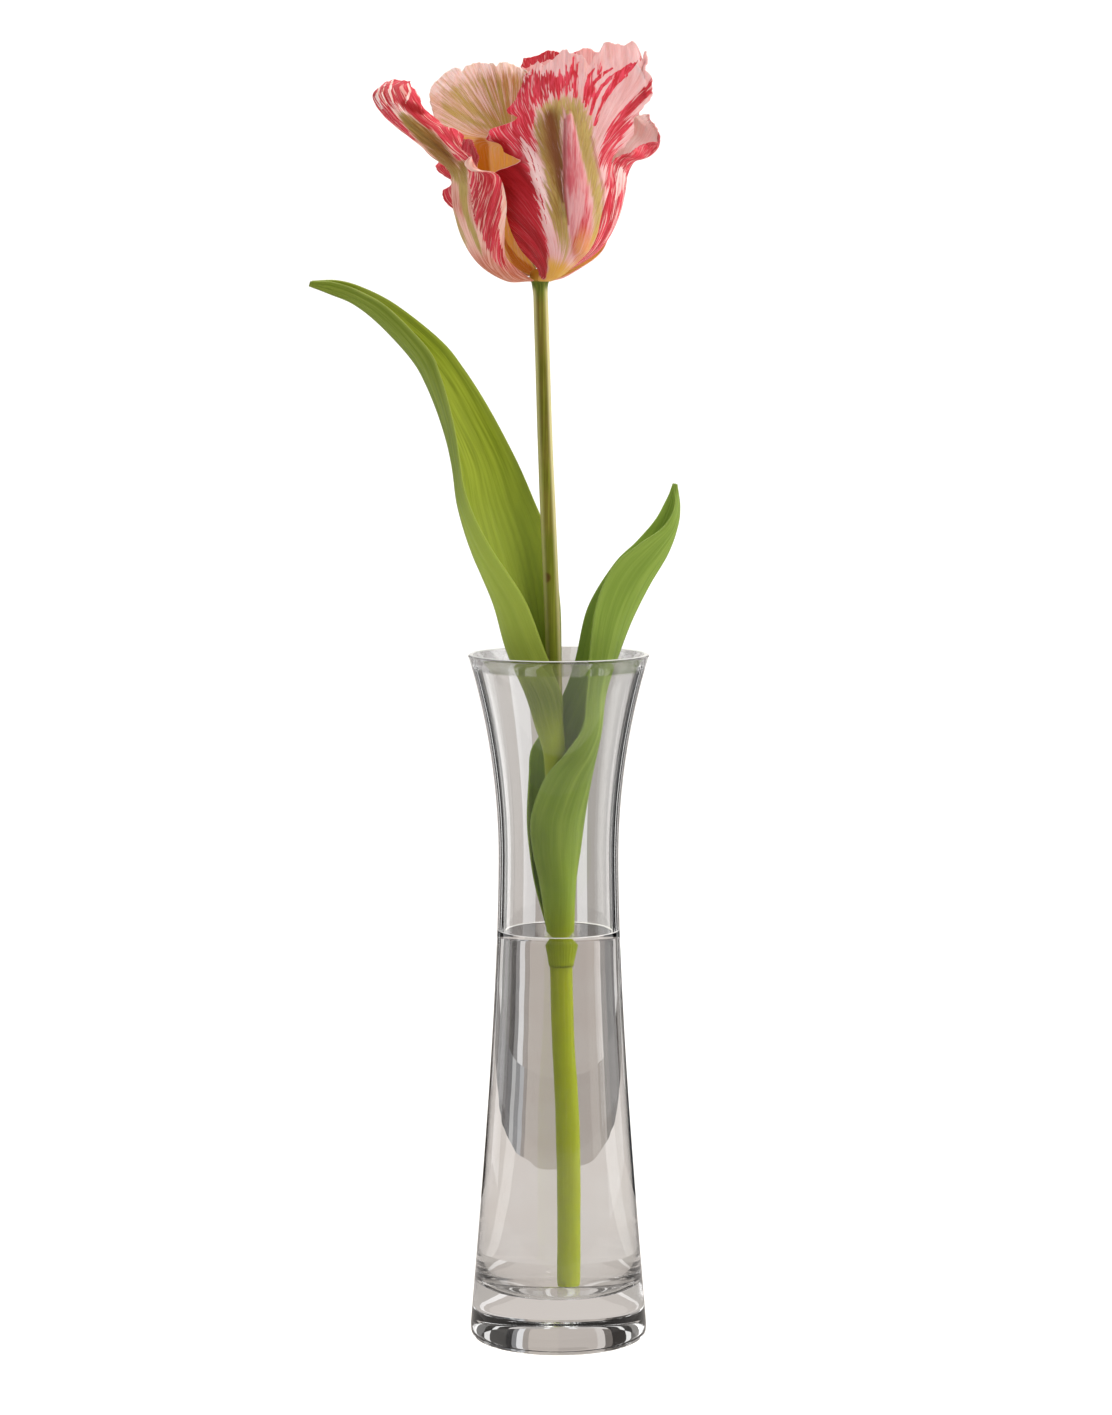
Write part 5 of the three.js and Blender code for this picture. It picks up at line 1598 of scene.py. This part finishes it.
# Colour of the cards on the camera's side, from the lowest tier up.
FRONTS = ("#a09c9a", "#827f7d", "#7c7a78")
TIERS = [
    (
        0.042,
        {
            -1: [
                (11, "#b0a8a2"), (15, "#bab2ac"), (19, "#a8a19b"), (23, "#6a645f"), (38, "#4a4644"),
                (56, "#9a9896"),
            ],
            1: [
                (11, "#bdb5ae"), (12.5, "#97908c"), (14.5, "#b2b4b8"), (17, "#84868a"), (19.5, "#b8babc"),
                (23, "#5e6064"), (38, "#3c3c40"), (60, "#8c8a8a"),
            ],
        },
    ),
    (
        0.105,
        {
            -1: [
                (15, "#beb6b0"), (19, "#d2ccc8"), (23.5, "#6e6864"), (35, "#181412"), (41, "#f4f4f4"),
                (56, "#5c5a58"),
            ],
            1: [
                (11, "#c2bab3"), (13.5, "#a39c97"), (16.5, "#e4e4e6"), (19, "#808082"), (22.5, "#202022"),
                (36, "#424140"), (43, "#f0f0f0"), (60, "#1c1c1e"),
            ],
        },
    ),
    (
        1.1,
        {
            -1: [
                (4.5, "#bcb5b0"), (8, "#eae8e8"), (17, "#c3bdb9"), (23, "#d8d4d2"), (31, "#121212"),
                (35, "#f4f4f4"), (44, "#121212"), (56, "#8c8a88"),
            ],
            1: [
                (3.6, "#bcb5b0"), (6, "#f2f1f1"), (17, "#b0aca8"), (23, "#d0ccca"), (31, "#080808"),
                (35, "#f4f4f4"), (44, "#080808"), (60, "#707070"),
            ],
        },
    ),
]
# The glowing table card, seen only through the glass, near the vase and further out: end of each sector in
# degrees and its colour.
TABLE = [
    {
        -1: [(5, "#d4cdc8"), (10.3, "#c8c1bc"), (12.5, "#f2eeec"), (180, "#b8b3ae")],
        1: [(5, "#d4cdc8"), (7.6, "#c6bfba"), (10.4, "#f8f5f4"), (180, "#bbb6b1")],
    },
    {
        -1: [(17, "#dcd6d2"), (25, "#eae5e1"), (31, "#dcd6d1"), (180, "#e0dad6")],
        1: [(15, "#dcd6d2"), (21, "#efeae6"), (29, "#dcd6d1"), (180, "#e0dad6")],
    },
]
TABLE_REACH = (0.0, 0.08, 0.56)
TABLE_HEIGHT = -0.0002
# The ring of cards: nearest and furthest in metres, and how it widens with the square of the degrees.
RING_NEAR = 0.23
RING_FAR = 0.5
RING_WIDENING = 0.75e-4


def card_distance(turn):
    """How far from the vase the ring of cards stands, in metres: close behind it, wider at its sides."""
    return min(RING_NEAR + RING_WIDENING * turn * turn, RING_FAR)


def reflectors():
    """Glowing cards, lit by no lamp and lighting nothing, that show only in and through clear glass as
    painted reflections, as in a studio.
    """
    points, faces, shades = [], [], []

    def patch(corners, shade):
        """One flat piece of card."""
        faces.append(tuple(range(len(points), len(points) + len(corners))))
        points.extend(corners)
        shades.extend([shade] * len(corners))

    def turned(turn, reach, z):
        """A point at an angle, a distance and a height."""
        return (reach * math.sin(math.radians(turn)), reach * math.cos(math.radians(turn)), z)

    def bends(start, end):
        """The strip from start to end as short straight pieces."""
        turns = np.linspace(start, end, max(2, math.ceil(abs(end - start) / 3) + 1))
        return zip(turns, turns[1:])

    for side in (-1, 1):
        floor = 0.0
        for (top, strips), front in zip(TIERS, FRONTS):
            start = 0.0
            for end, colour, *power in strips[side] + SIDES[side] + [(180, front)]:
                shade = tuple((power[0] if power else 1.0) * value for value in linear(colour)) + (1.0,)
                for a, b in bends(side * start, side * end):
                    near, far = card_distance(a), card_distance(b)
                    foot = [turned(a, near, floor), turned(b, far, floor)]
                    patch(foot + [turned(b, far, top), turned(a, near, top)], shade)
                start = end
            floor = top
        for sectors, inner, outer in zip(TABLE, TABLE_REACH, TABLE_REACH[1:]):
            start = 0.0
            for end, colour in sectors[side]:
                shade = (*linear(colour), 1.0)
                for a, b in bends(side * start, side * end):
                    near = [turned(a, inner, TABLE_HEIGHT), turned(b, inner, TABLE_HEIGHT)]
                    patch(near + [turned(b, outer, TABLE_HEIGHT), turned(a, outer, TABLE_HEIGHT)], shade)
                start = end
    mesh = bpy.data.meshes.new("cards")
    mesh.from_pydata(points, [], faces)
    tone = mesh.attributes.new("tone", "FLOAT_COLOR", "CORNER")
    tone.data.foreach_set("color", np.array(shades, dtype=np.float32).ravel())
    cards = bpy.data.objects.new("cards", mesh)
    bpy.context.scene.collection.objects.link(cards)
    material, tree = new_material("glowing reflection card")
    shade = node(tree, "ShaderNodeAttribute", out="Color", attribute_name="tone")
    lit = node(tree, "ShaderNodeEmission", {"Color": shade, "Strength": 1.0})
    node(tree, "ShaderNodeOutputMaterial", lit)
    material.cycles.emission_sampling = "NONE"
    mesh.materials.append(material)
    cards.visible_camera = cards.visible_diffuse = cards.visible_shadow = False


# The floor sweep in metres: its level, its front end, where it turns up, the bend's radius and its top.
SWEEP_LEVEL = -0.0003
SWEEP_FRONT = -3.0
SWEEP_BEND = 1.2
SWEEP_RADIUS = 0.9
SWEEP_TOP = 3.4


def floor_sweep(settings):
    """A pale floor that turns up into a backdrop behind the vase."""
    rows = [(y, SWEEP_LEVEL) for y in np.linspace(SWEEP_FRONT, SWEEP_BEND, 12)]
    for angle in np.linspace(0, math.pi / 2, 24)[1:]:
        rise = SWEEP_RADIUS * (1 - math.cos(angle))
        rows.append((SWEEP_BEND + SWEEP_RADIUS * math.sin(angle), rise + SWEEP_LEVEL))
    rows.append((SWEEP_BEND + SWEEP_RADIUS, SWEEP_TOP))
    points = [(x, y, z) for y, z in rows for x in (-4.0, 4.0)]
    faces = [(2 * k, 2 * k + 1, 2 * k + 3, 2 * k + 2) for k in range(len(rows) - 1)]
    mesh = bpy.data.meshes.new("floor")
    mesh.from_pydata(points, [], faces)
    mesh.polygons.foreach_set("use_smooth", [True] * len(faces))
    floor = bpy.data.objects.new("floor", mesh)
    bpy.context.scene.collection.objects.link(floor)
    material, tree = new_material("matt paper sweep")
    finish = {"Base Color": settings.floor, "Roughness": 0.9, "Specular IOR Level": 0.1}
    node(tree, "ShaderNodeOutputMaterial", node(tree, "ShaderNodeBsdfPrincipled", finish))
    mesh.materials.append(material)


def soft_light(name, place, aim, size, power, colour):
    """A square softbox."""
    light = bpy.data.lights.new(name, "AREA")
    light.shape = "SQUARE"
    light.size = size
    light.energy = power
    light.color = linear(colour)
    lamp = bpy.data.objects.new(name, light)
    lamp.location = place
    lamp.rotation_euler = (Vector(aim) - Vector(place)).to_track_quat("-Z", "Y").to_euler()
    bpy.context.scene.collection.objects.link(lamp)


class TULIP_OT_vase(bpy.types.Operator):
    """Turn the glass vase and fill it with water"""

    bl_idname = "tulip.vase"
    bl_label = "Vase and water"

    def execute(self, context):
        glass, water = context.scene.tulip_vase, context.scene.tulip_water
        lathe = lathe_tree()
        profile = points_mesh("vase profile", [(r, 0, z) for r, z in vase_profile()])
        closed_piece("vase_glass", profile, lathe, glass.steps, glass_finish(glass), "clear_glass", "vase")
        rows = water_profile(glass.overlap / MM, glass.meniscus / MM)
        profile = points_mesh("water profile", [(r, 0, z) for r, z in rows])
        closed_piece("water_fill", profile, lathe, glass.steps, water_finish(water), "water", "water")
        return {"FINISHED"}


def outward(piece):
    """Turns a closed piece's faces outwards if they point in."""
    mesh = piece.data
    mesh.calc_loop_triangles()
    corners = np.zeros(len(mesh.vertices) * 3)
    mesh.vertices.foreach_get("co", corners)
    corners = corners.reshape(-1, 3)
    triangles = np.zeros(len(mesh.loop_triangles) * 3, np.int32)
    mesh.loop_triangles.foreach_get("vertices", triangles)
    a, b, c = (corners[triangles.reshape(-1, 3)[:, k]] for k in range(3))
    if np.einsum("ij,ij->i", a, np.cross(b, c)).sum() < 0:
        mesh.flip_normals()


def closed_piece(name, mesh, tree, steps, finish, slot, cad_node):
    """Grows a round closed piece from its profile or path and finishes it."""
    piece = grown(name, mesh, tree, {"Steps Around": steps, "Finish": finish})
    outward(piece)
    finished(piece, finish, slot, cad_node)


class TULIP_OT_stem(bpy.types.Operator):
    """Grow the stem and its receptacle"""

    bl_idname = "tulip.stem"
    bl_label = "Stem"

    def execute(self, context):
        settings = context.scene.tulip_stem
        points, girths = stem_path()
        path = points_mesh("stem path", points, girths)
        finish = stem_finish(settings)
        closed_piece("stem_fine", path, stalk_tree(), settings.steps, finish, "stem_green", "stem")
        return {"FINISHED"}


# The share of cool wax that each leaf wears.
LEAF_WAX = {"leaf_upper": 0.0, "leaf_lower": 0.75}


class TULIP_OT_leaves(bpy.types.Operator):
    """Grow both leaves"""

    bl_idname = "tulip.leaves"
    bl_label = "Leaves"

    def execute(self, context):
        settings = context.scene.tulip_leaf
        for seed, (name, cool) in enumerate(LEAF_WAX.items(), 20):
            leaf = make_leaf(name, settings, 220, 64, seed)
            finished(leaf, leaf_finish(f"waxy {name}", settings, cool), "leaf_green", name)
        return {"FINISHED"}


class TULIP_OT_petals(bpy.types.Operator):
    """Grow the three outer and the three inner petals"""

    bl_idname = "tulip.petals"
    bl_label = "Petals"

    def execute(self, context):
        settings = context.scene.tulip_petal
        for seed, name in enumerate(PETALS, 31):
            # The front petal is the largest and has the finest mesh.
            rows, columns = (230, 170) if name == "tepal_outer_front" else (180, 120)
            petal = make_petal(name, settings, rows, columns, seed)
            slot = "petal_flamed" if name.startswith("tepal_outer") else "petal_blush"
            finished(petal, petal_finish(f"flamed {name}", name, settings), slot, name)
        return {"FINISHED"}


# From the bloom's seat up to the foot of the pistil.
HEART_RISE = np.array([0, 0, 2.9])


class TULIP_OT_heart(bpy.types.Operator):
    """Grow the pistil and the ring of stamens"""

    bl_idname = "tulip.heart"
    bl_label = "Pistil and stamens"

    def execute(self, context):
        x, y, z = BLOOM_SEAT + HEART_RISE
        pistil = make_pistil((x, y, z))
        finish = soft_part_finish("waxy pistil", "#a8a04a", "#d2cf86", 700.0)
        finished(pistil, finish, "pistil_green", "pistil_and_stamens")
        stalk = stalk_tree()
        whorl = whorl_tree()
        parts = {
            "filaments": (
                [(1.2, 0, 0.4), (4.4, 0, 4.5), (6.0, 0, 8.5), (6.7, 0, 11.4)],
                [0.8, 0.75, 0.62, 0.35],
                soft_part_finish("stamen filament", "#c9c27a", "#e6e0b0", 900.0),
            ),
            "anthers": (
                [(6.7, 0, 10.9), (6.85, 0, 12.0), (7.3, 0, 15.2), (7.65, 0, 18.6), (7.7, 0, 20.0)],
                [0.5, 1.15, 1.4, 1.1, 0.35],
                soft_part_finish("pollen-dusted anther", "#2c1d22", "#6a4a2c", 1500.0),
            ),
        }
        for name, (line, girths, finish) in parts.items():
            rows = along(np.column_stack([line, girths]), np.linspace(0, 1, 24))
            path = points_mesh(name + " path", rows[:, :3], rows[:, 3])
            single = grown(name + "_one", path, stalk, {"Steps Around": 14, "Finish": finish})
            outward(single)
            mesh = single.data
            bpy.data.objects.remove(single)
            values = {
                "Count": 6,
                "First Turn": math.pi / 6 + 0.15,
                "Unevenness": 0.0,
                "Centre": (x * MM, y * MM, z * MM),
                "Finish": finish,
            }
            ring = grown(name, mesh, whorl, values)
            finished(ring, finish, "pistil_green", "pistil_and_stamens")
        return {"FINISHED"}


def make_pistil(seat):
    """Three-sided ovary that narrows under a crown of three stigma lobes."""
    profile = [
        (0, 2.0), (2, 2.8), (7, 3.4), (14, 3.2), (19, 2.5), (20.6, 2.9), (21.6, 4.0), (22.8, 4.4),
        (23.6, 3.2), (24.0, 1.2),
    ]
    sides, dip = 48, 23.6
    rows = along(profile, np.linspace(0, 1, 60))
    around = np.linspace(0, 2 * math.pi, sides, endpoint=False)
    lobed = np.cos(3 * (around - 0.4))
    points = []
    for up, radius in rows:
        crown = smooth(19.0, 22.0, up)
        reach = radius * (1 + (0.07 + 0.3 * crown) * lobed)
        x, y = seat[0] + reach * np.cos(around), seat[1] + reach * np.sin(around)
        points.append(np.stack([x, y, np.full(sides, seat[2] + up)], -1))
    stack = np.concatenate(points)
    foot, top = len(stack), len(stack) + 1
    stack = np.vstack([stack, [seat[0], seat[1], seat[2]], [seat[0], seat[1], seat[2] + dip]])
    faces = []
    for i in range(0, foot - sides, sides):
        for k in range(sides):
            n = (k + 1) % sides
            faces.append((i + k, i + n, i + sides + n, i + sides + k))
    last = foot - sides
    for k in range(sides):
        n = (k + 1) % sides
        faces.append((foot, n, k))
        faces.append((top, last + k, last + n))
    mesh = bpy.data.meshes.new("pistil")
    mesh.from_pydata((stack * MM).tolist(), [], faces)
    mesh.polygons.foreach_set("use_smooth", [True] * len(faces))
    made = bpy.data.objects.new("pistil", mesh)
    bpy.context.scene.collection.objects.link(made)
    return made


class TULIP_PT_panel(bpy.types.Panel):
    """Lists the pieces of the tulip"""

    bl_idname = "TULIP_PT_panel"
    bl_label = "Tulip"
    bl_space_type = "VIEW_3D"
    bl_region_type = "UI"
    bl_category = "Tulip"

    def draw(self, context):
        for kind in OPERATORS:
            self.layout.operator(kind.bl_idname)


OPERATORS = (
    TULIP_OT_stage,
    TULIP_OT_vase,
    TULIP_OT_stem,
    TULIP_OT_leaves,
    TULIP_OT_petals,
    TULIP_OT_heart,
)
SETTINGS = {
    "tulip_petal": TulipPetalSettings,
    "tulip_leaf": TulipLeafSettings,
    "tulip_stem": TulipStemSettings,
    "tulip_vase": TulipVaseSettings,
    "tulip_water": TulipWaterSettings,
    "tulip_stage": TulipStageSettings,
}


def register():
    """Adds the settings, the operators and the panel to Blender."""
    for name, kind in SETTINGS.items():
        bpy.utils.register_class(kind)
        setattr(bpy.types.Scene, name, PointerProperty(type=kind))
    for kind in (*OPERATORS, TULIP_PT_panel):
        bpy.utils.register_class(kind)


def unregister():
    """Takes them out again."""
    for kind in (TULIP_PT_panel, *reversed(OPERATORS)):
        bpy.utils.unregister_class(kind)
    for name, kind in SETTINGS.items():
        delattr(bpy.types.Scene, name)
        bpy.utils.unregister_class(kind)


def main():
    """Builds everything in order."""
    register()
    bpy.ops.tulip.stage()
    bpy.ops.tulip.vase()
    bpy.ops.tulip.stem()
    bpy.ops.tulip.leaves()
    bpy.ops.tulip.petals()
    bpy.ops.tulip.heart()


if __name__ == "__main__":
    main()
